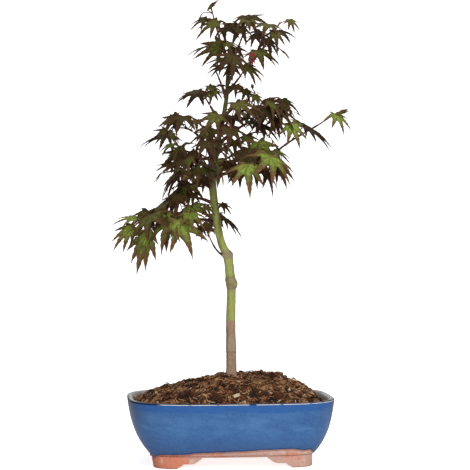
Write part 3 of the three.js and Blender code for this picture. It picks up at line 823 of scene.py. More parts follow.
def roughen(piece, size, detail, strength, **settings):
    """Pushes the surface in and out by lumps of one size."""
    lumps = bpy.data.textures.new("lumps", "CLOUDS")
    lumps.noise_scale = size
    lumps.noise_depth = detail
    modify(piece, "DISPLACE", texture=lumps, strength=strength, mid_level=0.5, **settings)
    bpy.data.textures.remove(lumps)


def weigh(piece, name, weight):
    """Gives the piece a vertex group in which each point weighs weight(its place)."""
    group = piece.vertex_groups.new(name=name)
    for vertex in piece.data.vertices:
        group.add([vertex.index], weight(vertex.co), "REPLACE")


def share_above(z, low, way):
    """0 at low and 1 from low + way upwards."""
    return min(1, max(0, (z - low) / way))


def dress(piece, *finishes):
    piece.data.materials.clear()
    for finish in finishes:
        piece.data.materials.append(finish)


def smooth(piece, degrees=None):
    """Shades the piece smooth all over, or only across edges flatter than the degrees given."""
    pick(piece)
    if degrees:
        bpy.ops.object.shade_smooth_by_angle(angle=math.radians(degrees))
    else:
        bpy.ops.object.shade_smooth()


def join(name, pieces):
    clear_selection()
    for piece in pieces:
        piece.select_set(True)
    bpy.context.view_layer.objects.active = pieces[0]
    bpy.ops.object.join()
    joined = bpy.context.object
    joined.name = name
    joined.data.name = name
    return joined


def hand_over(piece, slot, *nodes):
    """The finished piece rides on the frame's body and stands for its solids."""
    settle(piece)
    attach(piece, "root")
    if nodes:
        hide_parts(*nodes)


def start(primitive, **settings):
    """Adds a primitive, puts its place into its mesh and opens it in edit mode."""
    clear_selection()
    primitive(**settings)
    piece = bpy.context.object
    settle(piece)
    edit(piece)
    return piece


def sweep(line, radii, sides):
    """A closed round limb: a disc at the line's foot, extruded, turned and resized from point to point."""
    way = (line[1] - line[0]).normalized()
    limb = start(
        bpy.ops.mesh.primitive_circle_add, vertices=sides, radius=radii[0], fill_type="NGON",
        location=line[0], rotation=way.to_track_quat("Z", "Y").to_euler(),
    )
    for k in range(1, len(line)):
        bpy.ops.mesh.extrude_region_move(TRANSFORM_OT_translate={"value": line[k] - line[k - 1]})
        after = (line[min(k + 1, len(line) - 1)] - line[k - 1]).normalized()
        angle = way.angle(after)
        if angle > STRAIGHT:
            across = way.cross(after).normalized().to_track_quat("Z", "Y").to_matrix()
            # With no window this operator turns the other way.
            bpy.ops.transform.rotate(
                value=-angle, orient_axis="Z", orient_matrix=[list(axis) for axis in across.col],
                center_override=line[k],
            )
            way = after
        ratio = radii[k] / radii[k - 1]
        bpy.ops.transform.resize(value=(ratio, ratio, ratio), center_override=line[k])
    turn_outwards()
    return limb


# The tree's rule of growth, as its solids were grown


def level_way(angle):
    """The level direction at an angle from x."""
    return Vector((math.cos(angle), math.sin(angle), 0))


def dice(seed):
    """A repeatable dice: each call gives the next number from 0 to 1."""
    state = seed * 7919

    def roll():
        nonlocal state
        state = (state * 1664525 + 1013904223) & 0xFFFFFFFF
        return state / 4294967296

    return roll


def spine_point(t):
    """Point of the trunk's spine, a smooth curve through SPINE paced by the root of the spacing."""
    last = len(SPINE) - 1
    k = min(int(t * last), last - 1)
    w = t * last - k
    b, c = SPINE[k], SPINE[k + 1]
    a = SPINE[k - 1] if k else b * 2 - c
    d = SPINE[k + 2] if k + 2 <= last else c * 2 - b
    ab, bc, cd = (math.sqrt((q - p).length) for p, q in ((a, b), (b, c), (c, d)))
    leave_b = ((b - a) / ab - (c - a) / (ab + bc) + (c - b) / bc) * bc
    reach_c = ((c - b) / bc - (d - b) / (bc + cd) + (d - c) / cd) * bc
    return (
        b + leave_b * w + (3 * (c - b) - 2 * leave_b - reach_c) * w**2
        + (2 * (b - c) + leave_b + reach_c) * w**3
    )


def spine_at(height):
    low, high = 0.0, 1.0
    for _ in range(30):
        half = (low + high) / 2
        if spine_point(half).z < height:
            low = half
        else:
            high = half
    return spine_point(low)


def bow(start, end, rise):
    """The line that boughs and stems follow between two points, bowed up in the middle."""
    middle = (start + end) / 2 + UP * (rise * 2)
    return lambda t: start * (1 - t) ** 2 + middle * (2 * t * (1 - t)) + end * t**2


def spaced(curve, steps):
    """Points of a curve at even lengths along it."""
    places = np.arange(FINE_STEPS + 1) / FINE_STEPS
    fine = [curve(t) for t in places.tolist()]
    run = np.cumsum([0.0] + [(b - a).length for a, b in zip(fine, fine[1:])])
    stops = [run[-1] * k / steps for k in range(steps + 1)]
    return [curve(t) for t in np.interp(stops, run, places).tolist()]


def trunk_radius(z):
    up = max(0.0, (z - GROUND) / (CROWN_TOP - GROUND))
    taper = BASE_RADIUS + (TIP_RADIUS - BASE_RADIUS) * up**1.25
    foot = ROOT_FLARE * math.exp(-(z - GROUND) / FLARE_HEIGHT)
    return taper + foot + sum(swell * math.exp(-(((z - h) / spread) ** 2)) for h, swell, spread in KNOBS)


def bough_path(row):
    if not row.tip:
        return spine_point
    return bow(spine_at(row.height), Vector(row.tip), row.arch)


def stem_curve(row):
    """The leafy stem grows on from the limb's end, clear of it however it leans."""
    path = bough_path(row)
    last = path(1)
    way = (last - path(1 - HAIR)).normalized()
    end = Vector(row.end)
    first = bow(last, end, row.lift)
    lean = math.sin((first(HAIR) - first(0)).angle(way))
    foot = last + way * (GAP + STEM_FOOT * lean)
    return bow(foot, end, row.lift)


def twig_line(row, steps):
    """The leafy stem as it is drawn: one with a rise turns up towards its end, above its solid."""
    line = spaced(stem_curve(row), steps)
    return [point + UP * (row.rise * (k / steps) ** 4) for k, point in enumerate(line)]


def about(middle, spread, roll):
    """A number by chance, up to half the spread to either side of the middle."""
    return middle + spread * (roll() - 0.5)


class Leaf:
    """Where one leaf stands: its node on the wood, its stalk's end, and the blade's own axes and length."""

    def __init__(self, node, end, size, droop, lean, out=None):
        out = out or Vector(((end - node).x, (end - node).y, 0)).normalized()
        self.node = node
        self.end = end
        self.rib = out * math.cos(droop) - UP * math.sin(droop)
        self.across = Matrix.Rotation(lean, 3, self.rib) @ UP.cross(self.rib).normalized()
        self.face = self.rib.cross(self.across)
        self.size = size

    def tip(self):
        return self.end + (self.rib - self.face * UMBRELLA) * self.size


def try_leaf(row, stem, i, hand, shrink, roll):
    """One try at a leaf: pairs stand a quarter round from the pair before, a little at random."""
    way = (stem[i] - stem[i - 1]).normalized()
    level = UP.cross(way).normalized()
    turn = about(row.twist + (0 if i % 2 else PAIR_TURN), TURN_SPREAD, roll)
    swing = about(0, SWING_SPREAD, roll)
    side = Matrix.Rotation(math.radians(turn), 3, way) @ level
    side = Matrix.Rotation(math.radians(swing), 3, UP) @ side
    share = 1 - (1 - row.young) * (i / row.pairs) ** 3
    size = row.leaf * share * shrink * (0.86 + 0.28 * roll())
    droop = math.radians(about(row.droop, DROOP_SPREAD, roll))
    lean = math.radians(about(0, LEAN_SPREAD, roll))
    stalk = (way * 0.6 + side * hand + UP * 0.16).normalized()
    return Leaf(stem[i], stem[i] + stalk * (size * PETIOLE_SHARE), size, droop, lean)


def grow_leaves(row):
    """The leaves of one mass. A pose is taken where the mass's solid has the leaf's point, so they agree."""
    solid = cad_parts["foliage_" + row.name].data
    points = kdtree.KDTree(len(solid.vertices))
    back = TREE_PLACE.inverted()
    for k, vertex in enumerate(solid.vertices):
        points.insert(back @ vertex.co, k)
    points.balance()
    roll = dice(row.seed)
    stem = spaced(stem_curve(row), row.pairs)
    leaves = []
    for i in range(1, row.pairs + 1):
        for hand in (-1, 1):
            for tries in range(LEAF_TRIES):
                leaf = try_leaf(row, stem, i, hand, 1 - tries * LEAF_SHRINK, roll)
                if points.find(leaf.tip())[2] < SAME_POINT:
                    leaves.append(leaf)
                    break
    return leaves


class Heap:
    """Many small things gathered as arrays, to be made one mesh with a material for each sort."""

    def __init__(self):
        self.points = []
        self.faces = []
        self.sorts = []

    def add(self, points, faces, sorts):
        first = len(self.points)
        self.points.extend(points)
        self.faces.extend(tuple(first + k for k in face) for face in faces)
        self.sorts.extend(sorts if isinstance(sorts, list) else [sorts] * len(faces))

    def tube(self, line, radii, sides, sort):
        """A closed thin tube along a line, its rings carried along without twist."""
        points = []
        way = (line[1] - line[0]).normalized()
        side = way.orthogonal().normalized()
        for k, (middle, radius) in enumerate(zip(line, radii)):
            after = (line[min(k + 1, len(line) - 1)] - line[max(k - 1, 0)]).normalized()
            side = (way.rotation_difference(after) @ side).normalized()
            way = after
            other = way.cross(side)
            for s in range(sides):
                angle = 2 * math.pi * s / sides
                points.append(middle + (side * math.cos(angle) + other * math.sin(angle)) * radius)
        faces = []
        for k in range(len(line) - 1):
            for s in range(sides):
                a, b = k * sides + s, k * sides + (s + 1) % sides
                faces.append((a, b, b + sides, a + sides))
        faces.append(tuple(reversed(range(sides))))
        faces.append(tuple(range(len(points) - sides, len(points))))
        self.add(points, faces, sort)

    def build(self, name, materials, place=None):
        mesh = bpy.data.meshes.new(name)
        points = [place @ Vector(p) for p in self.points] if place else self.points
        mesh.from_pydata(points, [], self.faces)
        for material in materials:
            mesh.materials.append(material)
        mesh.polygons.foreach_set("material_index", self.sorts)
        mesh.update()
        made = bpy.data.objects.new(name, mesh)
        bpy.context.scene.collection.objects.link(made)
        return made


def lobe_side(size, reach, turn, hand, edge):
    """Edge points of one side of a lobe, from its widest tooth outwards."""
    along = level_way(turn)
    aside = Vector((-along.y, along.x, 0)) * hand
    return [along * (place * reach * size) + aside * (half * reach * size) for place, half in edge]


def blade(size, roll, spread=1.0):
    """Points, faces and zones (0 heart to 3 point) of a leaf in its own plane, its middle lobe along x."""
    turns = [(-turn, reach) for turn, reach in reversed(LOBES[1:])] + list(LOBES)
    lobes = [
        (math.radians(about(turn * spread, LOBE_SPREAD, roll)), reach * (0.93 + 0.14 * roll()))
        for turn, reach in turns
    ]
    points = [Vector((0, 0, 0))]
    faces = []
    zones = []

    def put(point, lift=0.0):
        run = math.hypot(point.x, point.y) / size
        points.append(Vector((point.x, point.y, lift - UMBRELLA * size * run**2)))
        return len(points) - 1

    behind = put(Vector((-NOTCH * size, 0, 0)))
    sinuses = [behind]
    for (turn, reach), (next_turn, next_reach) in zip(lobes, lobes[1:]):
        middle = (turn + next_turn) / 2
        depth = SINUS * min(1, 0.35 + min(reach, next_reach)) * size
        sinuses.append(put(level_way(middle) * depth, 0.02 * size))
    sinuses.append(behind)
    for k, (turn, reach) in enumerate(lobes):
        small = reach < 0.5
        edge = SMALL_LOBE_EDGE if small else LOBE_EDGE
        split = 0 if small else 3
        along = level_way(turn) * (reach * size)
        ribs = [put(along * (0.34 if small else 0.36))] + [put(along * place) for place, _ in edge]
        tip = put(along, 0.12 * (roll() - 0.6) * size)
        for hand, sinus in ((-1, sinuses[k]), (1, sinuses[k + 1])):
            rim = [sinus]
            for (place, half), point in zip(edge, lobe_side(size, reach, turn, hand, edge)):
                rim.append(put(point, half * reach * size * LOBE_FOLD))
            middles = []
            for rib, outer in zip(ribs[: split + 1], rim):
                points.append(points[rib] * (1 - MID_BLADE) + points[outer] * MID_BLADE)
                middles.append(len(points) - 1)
            strips = []
            if split:
                strips.append(((0, ribs[0], middles[0]), 0))
                strips.append(((0, middles[0], rim[0]), 1))
            else:
                strips.append(((0, ribs[0], rim[0]), 1))
            for j in range(len(edge)):
                if j < split:
                    strips.append(((ribs[j], ribs[j + 1], middles[j + 1], middles[j]), 1 if j < 2 else 2))
                    strips.append(((middles[j], middles[j + 1], rim[j + 1], rim[j]), 2 if j < 2 else 3))
                elif j == split and split:
                    strips.append(((ribs[j], ribs[j + 1], rim[j + 1], rim[j], middles[j]), 3))
                else:
                    strips.append(((ribs[j], ribs[j + 1], rim[j + 1], rim[j]), 2 if small else 3))
            strips.append(((ribs[-1], tip, rim[-1]), 3))
            for strip, zone in strips:
                faces.append(strip if hand > 0 else tuple(reversed(strip)))
                zones.append(zone)
    return points, faces, zones


class BONSAI_OT_make_pot(bpy.types.Operator):
    """Model the glazed pot: its plan line bridged from ring to ring, and the gaps cut between its feet"""

    bl_idname = "bonsai.make_pot"
    bl_label = "Glazed pot"

    def execute(self, context):
        pot = context.scene.bonsai_pot
        body = self.raise_body(pot)
        dress(body, glaze_finish(pot), inner_finish(pot))
        self.paint_inside(pot, body)
        half_width = pot.width / 2 - FOOT_INSET * MM
        half_depth = pot.depth / 2 - FOOT_INSET * MM
        cutters = [
            self.gap_cutter(half_width, 1, pot.depth, 0),
            self.gap_cutter(half_depth, SIDE_SHARE, pot.width, math.pi / 2),
            self.base_hollow(pot),
        ]
        for cutter in cutters:
            modify(body, "BOOLEAN", operation="DIFFERENCE", solver="EXACT", object=cutter)
            bpy.data.objects.remove(cutter)
        modify(body, "BEVEL", width=0.0007, segments=2, limit_method="ANGLE", angle_limit=math.radians(38))
        smooth(body, 40)
        hand_over(body, "glaze", "pot")
        return {"FINISHED"}

    def wall_inset(self, pot, z):
        down = (pot.height - z) / (pot.height - GLAZE_FOOT * MM)
        at_lip = 2 * FLARE / (pot.height / MM - GLAZE_FOOT)
        return (FLARE * down + BELLY * down**3 - at_lip) * MM

    def section(self, pot):
        """The wall's section as insets and heights, from the sole up, over the lip and down inside."""
        wall = WALL * MM
        line = [(FOOT_INSET * MM + inset, height) for inset, height in FOOT_WALL]
        outside = np.linspace(GLAZE_FOOT * MM, pot.height - 0.0032, 22).tolist()
        line += [(self.wall_inset(pot, z), z) for z in outside]
        line += [(inset, pot.height - drop) for inset, drop in LIP]
        inside = np.linspace(pot.height - 0.004, FLOOR * MM + 0.002, 10).tolist()
        line += [(self.wall_inset(pot, z) + wall, z) for z in inside]
        line.append((self.wall_inset(pot, FLOOR * MM) + wall + 0.002, FLOOR * MM))
        return line

    def squareness(self, pot, z):
        if z < (GLAZE_FOOT - 0.1) * MM:
            return FOOT_SQUARENESS
        down = 1 - (z - GLAZE_FOOT * MM) / (pot.height - GLAZE_FOOT * MM)
        return RIM_SQUARENESS + (WALL_SQUARENESS - RIM_SQUARENESS) * min(1, down) ** 3

    def plan_line(self, pot, inset, z):
        """A plane cut back at its corners to the pot's plan, of which the outline is kept."""
        middle = (POT_MIDDLE.x, POT_MIDDLE.y, z)
        bpy.ops.mesh.select_all(action="DESELECT")
        bpy.ops.mesh.primitive_plane_add(size=1, location=middle)
        bpy.ops.transform.resize(
            value=(pot.width - 2 * inset, pot.depth - 2 * inset, 1), center_override=middle,
        )
        # A bevel's profile of 0.5 is round, and this one has the plan's own squareness.
        bpy.ops.mesh.bevel(
            affect="VERTICES", offset_type="PERCENT", offset_pct=50, segments=CORNER_SEGMENTS,
            profile=2 ** (-2 / self.squareness(pot, z)), clamp_overlap=False,
        )
        bpy.ops.mesh.remove_doubles(threshold=1e-6)
        bpy.ops.mesh.delete(type="ONLY_FACE")

    def raise_body(self, pot):
        """The pot's shell: plan lines up the outside and down the inside, each bridged to the one before."""
        body = start(bpy.ops.mesh.primitive_plane_add, size=1)
        body.name = body.data.name = "pot"
        bpy.ops.mesh.delete(type="VERT")
        line = self.section(pot)
        for step, (inset, z) in enumerate(line, 1):
            self.plan_line(pot, inset, z)
            shape = bmesh.from_edit_mesh(body.data)
            ring = shape.verts.layers.int.get("ring") or shape.verts.layers.int.new("ring")
            for point in shape.verts:
                point[ring] = point[ring] or step
            if step > 1:
                select(body, "VERT", lambda point: step - 1 <= point[ring] <= step)
                bpy.ops.mesh.bridge_edge_loops()
        for end in (1, len(line)):
            select(body, "VERT", lambda point: point[ring] == end)
            bpy.ops.mesh.edge_face_add()
        turn_outwards()
        return body

    def paint_inside(self, pot, body):
        """The lip's top and the wall behind it take the pale glaze."""
        for face in body.data.polygons:
            middle = face.center - POT_MIDDLE
            inwards = face.normal.x * middle.x + face.normal.y * middle.y < 0
            on_lip = face.center.z > pot.height - 0.0004
            if face.center.z > FLOOR * MM - 0.001 and (inwards or on_lip):
                face.material_index = 1

    def gap_cutter(self, half_side, share, through, turn):
        """The gap between two feet: a slab drawn down level by level along their outline, below the sole."""
        levels = [(half_side - place * share * MM, height * MM) for place, height in self.ogee()]
        wide, high = levels[0]
        cutter = start(bpy.ops.mesh.primitive_plane_add, size=1, location=(0, 0, high))
        bpy.ops.transform.resize(value=(2 * wide, through, 1), center_override=(0, 0, high))
        for (before, high), (half, height) in zip(levels, levels[1:]):
            bpy.ops.mesh.extrude_region_move(TRANSFORM_OT_translate={"value": (0, 0, height - high)})
            bpy.ops.transform.resize(value=(half / before, 1, 1), center_override=(0, 0, height))
        turn_outwards()
        cutter.rotation_euler = (0, 0, turn)
        cutter.location = (POT_MIDDLE.x, POT_MIDDLE.y, 0)
        settle(cutter)
        return cutter

    def ogee(self):
        """Places along the foot and heights there, from the band between the feet down past the sole."""
        line = []
        for k in range(6):
            t = k / 5
            place = (1 - t) ** 2 * CROWN_START + 2 * t * (1 - t) * (SHELF_END + 3) + t**2 * SHELF_END
            height = SHELF_HEIGHT + (BASE_UNDER - SHELF_HEIGHT) * (1 - t) ** 2
            line.append((place, height - 0.02 * k))
        line.append((SHELF_START, SHELF_HEIGHT - 0.4))
        for t in (0.2, 0.4, 0.6, 0.8):
            place = SHELF_START + (SOLE - SHELF_START) * (3 * t**2 - 2 * t**3) ** 0.8
            line.append((place, (SHELF_HEIGHT - 0.4) * (1 - t) ** 1.4))
        line.append((SOLE, -1))
        return line

    def base_hollow(self, pot):
        """The hollow under the base, which leaves each foot an L-shaped bracket."""
        inset = (FOOT_INSET + FOOT_WIDTH) * MM
        low, high = -1, BASE_UNDER + 0.1
        middle = (POT_MIDDLE.x, POT_MIDDLE.y, (low + high) / 2 * MM)
        size = (pot.width - 2 * inset, pot.depth - 2 * inset, (high - low) * MM)
        hollow = start(bpy.ops.mesh.primitive_cube_add, size=1, location=middle)
        bpy.ops.transform.resize(value=size, center_override=middle)
        select(hollow, "EDGE", lambda edge: abs(edge.verts[0].co.z - edge.verts[1].co.z) > MM)
        bpy.ops.mesh.bevel(offset=0.010, segments=5, affect="EDGES")
        leave()
        return hollow


class BONSAI_OT_heap_soil(bpy.types.Operator):
    """Heap the potting mix: the solid's mound remeshed and roughened, with loose fibres and chips"""

    bl_idname = "bonsai.heap_soil"
    bl_label = "Potting mix"

    def execute(self, context):
        soil = context.scene.bonsai_soil
        mound = self.mound(soil)
        finishes = [
            mix_finish("dark_crumbs", soil.dark, srgb(58, 38, 26), 300),
            mix_finish("brown_crumbs", soil.brown, srgb(70, 46, 30), 300),
            mix_finish("rusty_fibres", soil.rust, srgb(104, 62, 38), 200),
            mix_finish("straw_fibres", soil.straw, srgb(140, 104, 70), 200),
            mix_finish("pale_bits", soil.pale, srgb(200, 176, 146), 200, 0.1),
        ]
        surface = BVHTree.FromObject(mound, bpy.context.evaluated_depsgraph_get())
        rng = np.random.default_rng(SOIL_SEED)
        chips = self.scatter_chips(soil, surface, rng).build("soil_chips", finishes)
        fibres = self.scatter_fibres(soil, surface, rng).build("soil_fibres", finishes)
        smooth(fibres)
        for piece in (mound, chips, fibres):
            hand_over(piece, "potting_mix", "soil")
        return {"FINISHED"}

    def mound(self, soil):
        """A merged copy of the soil's solid, remeshed evenly, rounded and roughened by lumps."""
        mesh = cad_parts["soil"].data.copy()
        mound = bpy.data.objects.new("soil_heap", mesh)
        mesh.name = "soil_heap"
        bpy.context.scene.collection.objects.link(mound)
        edit(mound)
        bpy.ops.mesh.remove_doubles(threshold=1e-5)
        bpy.ops.mesh.tris_convert_to_quads()
        leave()
        modify(mound, "REMESH", mode="VOXEL", voxel_size=0.0021)
        modify(mound, "SMOOTH", factor=0.8, iterations=8)
        self.reshape(mound, "sinks", HEAP_SINKS, -1)
        self.reshape(mound, "swells", HEAP_SWELLS, 1)
        weigh(mound, "open_top", lambda place: share_above(place.z, OPEN_TOP, 0.006))
        for size, strength in HEAP_LUMPS:
            roughen(mound, size, 2, strength, direction="Z", vertex_group="open_top")
        dress(mound, heap_finish(soil))
        smooth(mound)
        return mound

    def reshape(self, mound, name, places, way):
        """Lets the heap sink or swell along the pot's length, where its top is open."""
        most = max(change for _, change in places)

        def weight(place):
            change = float(np.interp((place.x - POT_MIDDLE.x) / MM, *zip(*places)))
            return share_above(place.z, HELD_TOP, 0.010) * change / most

        weigh(mound, name, weight)
        modify(mound, "DISPLACE", strength=way * most * MM, mid_level=0, direction="Z", vertex_group=name)

    def drop(self, surface, x, y):
        """The place and slope of the surface straight below a point over the pot."""
        return surface.ray_cast(Vector((x, y, ABOVE)), -UP)[:2]

    def landings(self, tries, surface, rng):
        """Random places on the heap, each with its number and the slope there, without those beside it."""
        pot = bpy.context.scene.bonsai_pot
        for k in range(tries):
            x = POT_MIDDLE.x + (rng.random() - 0.5) * (pot.width - RIM_ROOM)
            y = POT_MIDDLE.y + (rng.random() - 0.5) * (pot.depth - RIM_ROOM)
            spot, slope = self.drop(surface, x, y)
            if spot is not None and spot.z >= OPEN_TOP:
                yield k, spot, slope

    def scatter_chips(self, soil, surface, rng):
        """Chips and crumbs: boxes with uneven corners, lying roughly on the slope."""
        heap = Heap()
        box = [Vector((x, y, z)) for z in (-1, 1) for y in (-1, 1) for x in (-1, 1)]
        sides = ((0, 2, 3, 1), (4, 5, 7, 6), (0, 1, 5, 4), (2, 6, 7, 3), (0, 4, 6, 2), (1, 3, 7, 5))
        for k, spot, slope in self.landings(soil.chips, surface, rng):
            long = rng.uniform(*CHIP_LENGTHS) * MM * (1 if k % LONG_CHIP else 2)
            size = Vector((long, long * rng.uniform(*CHIP_WIDTHS), long * rng.uniform(*CHIP_HEIGHTS)))
            lie = slope.to_track_quat("Z", "Y") @ Quaternion((0, 0, 1), rng.uniform(*HEADINGS))
            lie = lie @ Quaternion((1, 0, 0), rng.normal(0, 0.5))
            corners = []
            for corner in box:
                point = lie @ Vector([c * s * rng.uniform(*CHIP_CORNERS) for c, s in zip(corner, size)])
                corners.append(spot + point + slope * size.z * 0.5)
            heap.add(corners, sides, self.sort_at(spot, rng, 0.12))
        return heap

    def sort_at(self, spot, rng, darker):
        """Dark, brown, rusty, straw or pale: neighbours are mostly alike, so the heap looks clumped."""
        clump = noise.noise(spot * 95) * 0.9 + noise.noise(spot * 230) * 0.6 - darker
        dry = min(1, max(0, 0.5 + clump + rng.normal(0, 0.22)))
        if rng.random() < PALE_SHARE:
            return len(SORT_LEVELS) + 1
        return int(np.searchsorted(SORT_LEVELS, dry))

    def scatter_fibres(self, soil, surface, rng):
        """Fibres: three-sided bent threads that lie on the heap, with some ends standing up."""
        heap = Heap()
        for k, spot, _ in self.landings(soil.fibres, surface, rng):
            way = level_way(rng.uniform(*HEADINGS))
            run = rng.uniform(*FIBRE_LENGTHS) * MM
            bend = rng.normal(0, 1.1)
            lift = min(2.0, abs(rng.normal(0, 0.9))) * MM * (1 if k % HIGH_FIBRE else 2)
            line = []
            for s in (-0.5, -0.17, 0.17, 0.5):
                point = spot + Matrix.Rotation(bend * s, 3, "Z") @ way * (run * s)
                hit = self.drop(surface, point.x, point.y)[0]
                ground = hit.z if hit and hit.z > OPEN_TOP else spot.z
                point.z = ground + 0.0003 + lift * (0.5 + s) ** 2 * 1.6
                line.append(point)
            thick = rng.uniform(*FIBRE_RADII) * MM
            heap.tube(line, [thick * 0.6, thick, thick, thick * 0.4], 3, self.sort_at(spot, rng, -0.10))
        return heap


class BONSAI_OT_grow_trunk(bpy.types.Operator):
    """Sweep the trunk along its spine, add its knobs and the collars of its boughs, and wrinkle its bark"""

    bl_idname = "bonsai.grow_trunk"
    bl_label = "Trunk"

    def execute(self, context):
        line = spaced(spine_point, TRUNK_STEPS)
        radii = [trunk_radius(point.z) * MM for point in line]
        line.insert(0, line[0] - UP * 5)
        radii.insert(0, trunk_radius(line[1].z) * 1.25 * MM)
        trunk = sweep([TREE_PLACE @ point for point in line], radii, 20)
        trunk = join("trunk", [trunk] + [self.lump(middle, size) for middle, size in self.lumps()])
        modify(trunk, "REMESH", mode="VOXEL", voxel_size=0.0007)
        modify(trunk, "SMOOTH", factor=0.6, iterations=6)
        roughen(trunk, 0.0035, 3, 0.0007)
        dress(trunk, bark_finish(context.scene.bonsai_bark))
        smooth(trunk)
        hand_over(trunk, "bark", "trunk")
        return {"FINISHED"}

    def lumps(self):
        """Swellings that the round sweep can't give: one-sided knobs and the collars of the boughs."""
        made = [(Vector(middle), Vector(size)) for middle, size in CUT_KNOBS]
        for row in BRANCHES:
            if row.tip:
                path = bough_path(row)
                root = path(0)
                way = (path(0.2) - root).normalized()
                made.append((root + way * (trunk_radius(root.z) * 0.75), Vector(COLLAR)))
        return made

    def lump(self, middle, size):
        clear_selection()
        bpy.ops.mesh.primitive_uv_sphere_add(
            segments=16, ring_count=10, radius=1, location=TREE_PLACE @ middle, rotation=(0, 0, TREE_TURN),
            scale=size * MM,
        )
        lump = bpy.context.object
        settle(lump)
        return lump


class BONSAI_OT_grow_boughs(bpy.types.Operator):
    """Sweep every bough from the trunk to its tip, tapering, with wrinkled bark"""

    bl_idname = "bonsai.grow_boughs"
    bl_label = "Boughs"

    def execute(self, context):
        bark = context.scene.bonsai_bark
        limbs = []
        rows = [row for row in BRANCHES if row.tip]
        for row in rows:
            path = bough_path(row)
            line = spaced(lambda t: path(t) - UP * (4 * row.sag * t * (1 - t)), BOUGH_STEPS)
            limbs.append(sweep([TREE_PLACE @ point for point in line], self.radii(row.thick), 10))
        boughs = join("boughs", limbs)
        modify(boughs, "SUBSURF", levels=1, render_levels=1)
        roughen(boughs, 0.003, 2, 0.0006)
        dress(boughs, twig_finish("bough_bark", bark.twig_dark, bark.twig))
        smooth(boughs)
        hand_over(boughs, "young_bark", *("bough_" + row.name for row in rows))
        return {"FINISHED"}

    def radii(self, thick):
        """A bough tapers, a thin one mostly in its first third, and swells at the joint half way along."""
        made = []
        for k in range(BOUGH_STEPS + 1):
            radius = thick ** min(1, k / 4) * (BOUGH_FOOT - BOUGH_LOSS * (k / BOUGH_STEPS) ** 0.8)
            made.append((radius + JOINT_SWELL * math.exp(-(((k - 6) / 0.8) ** 2))) * MM)
        return made


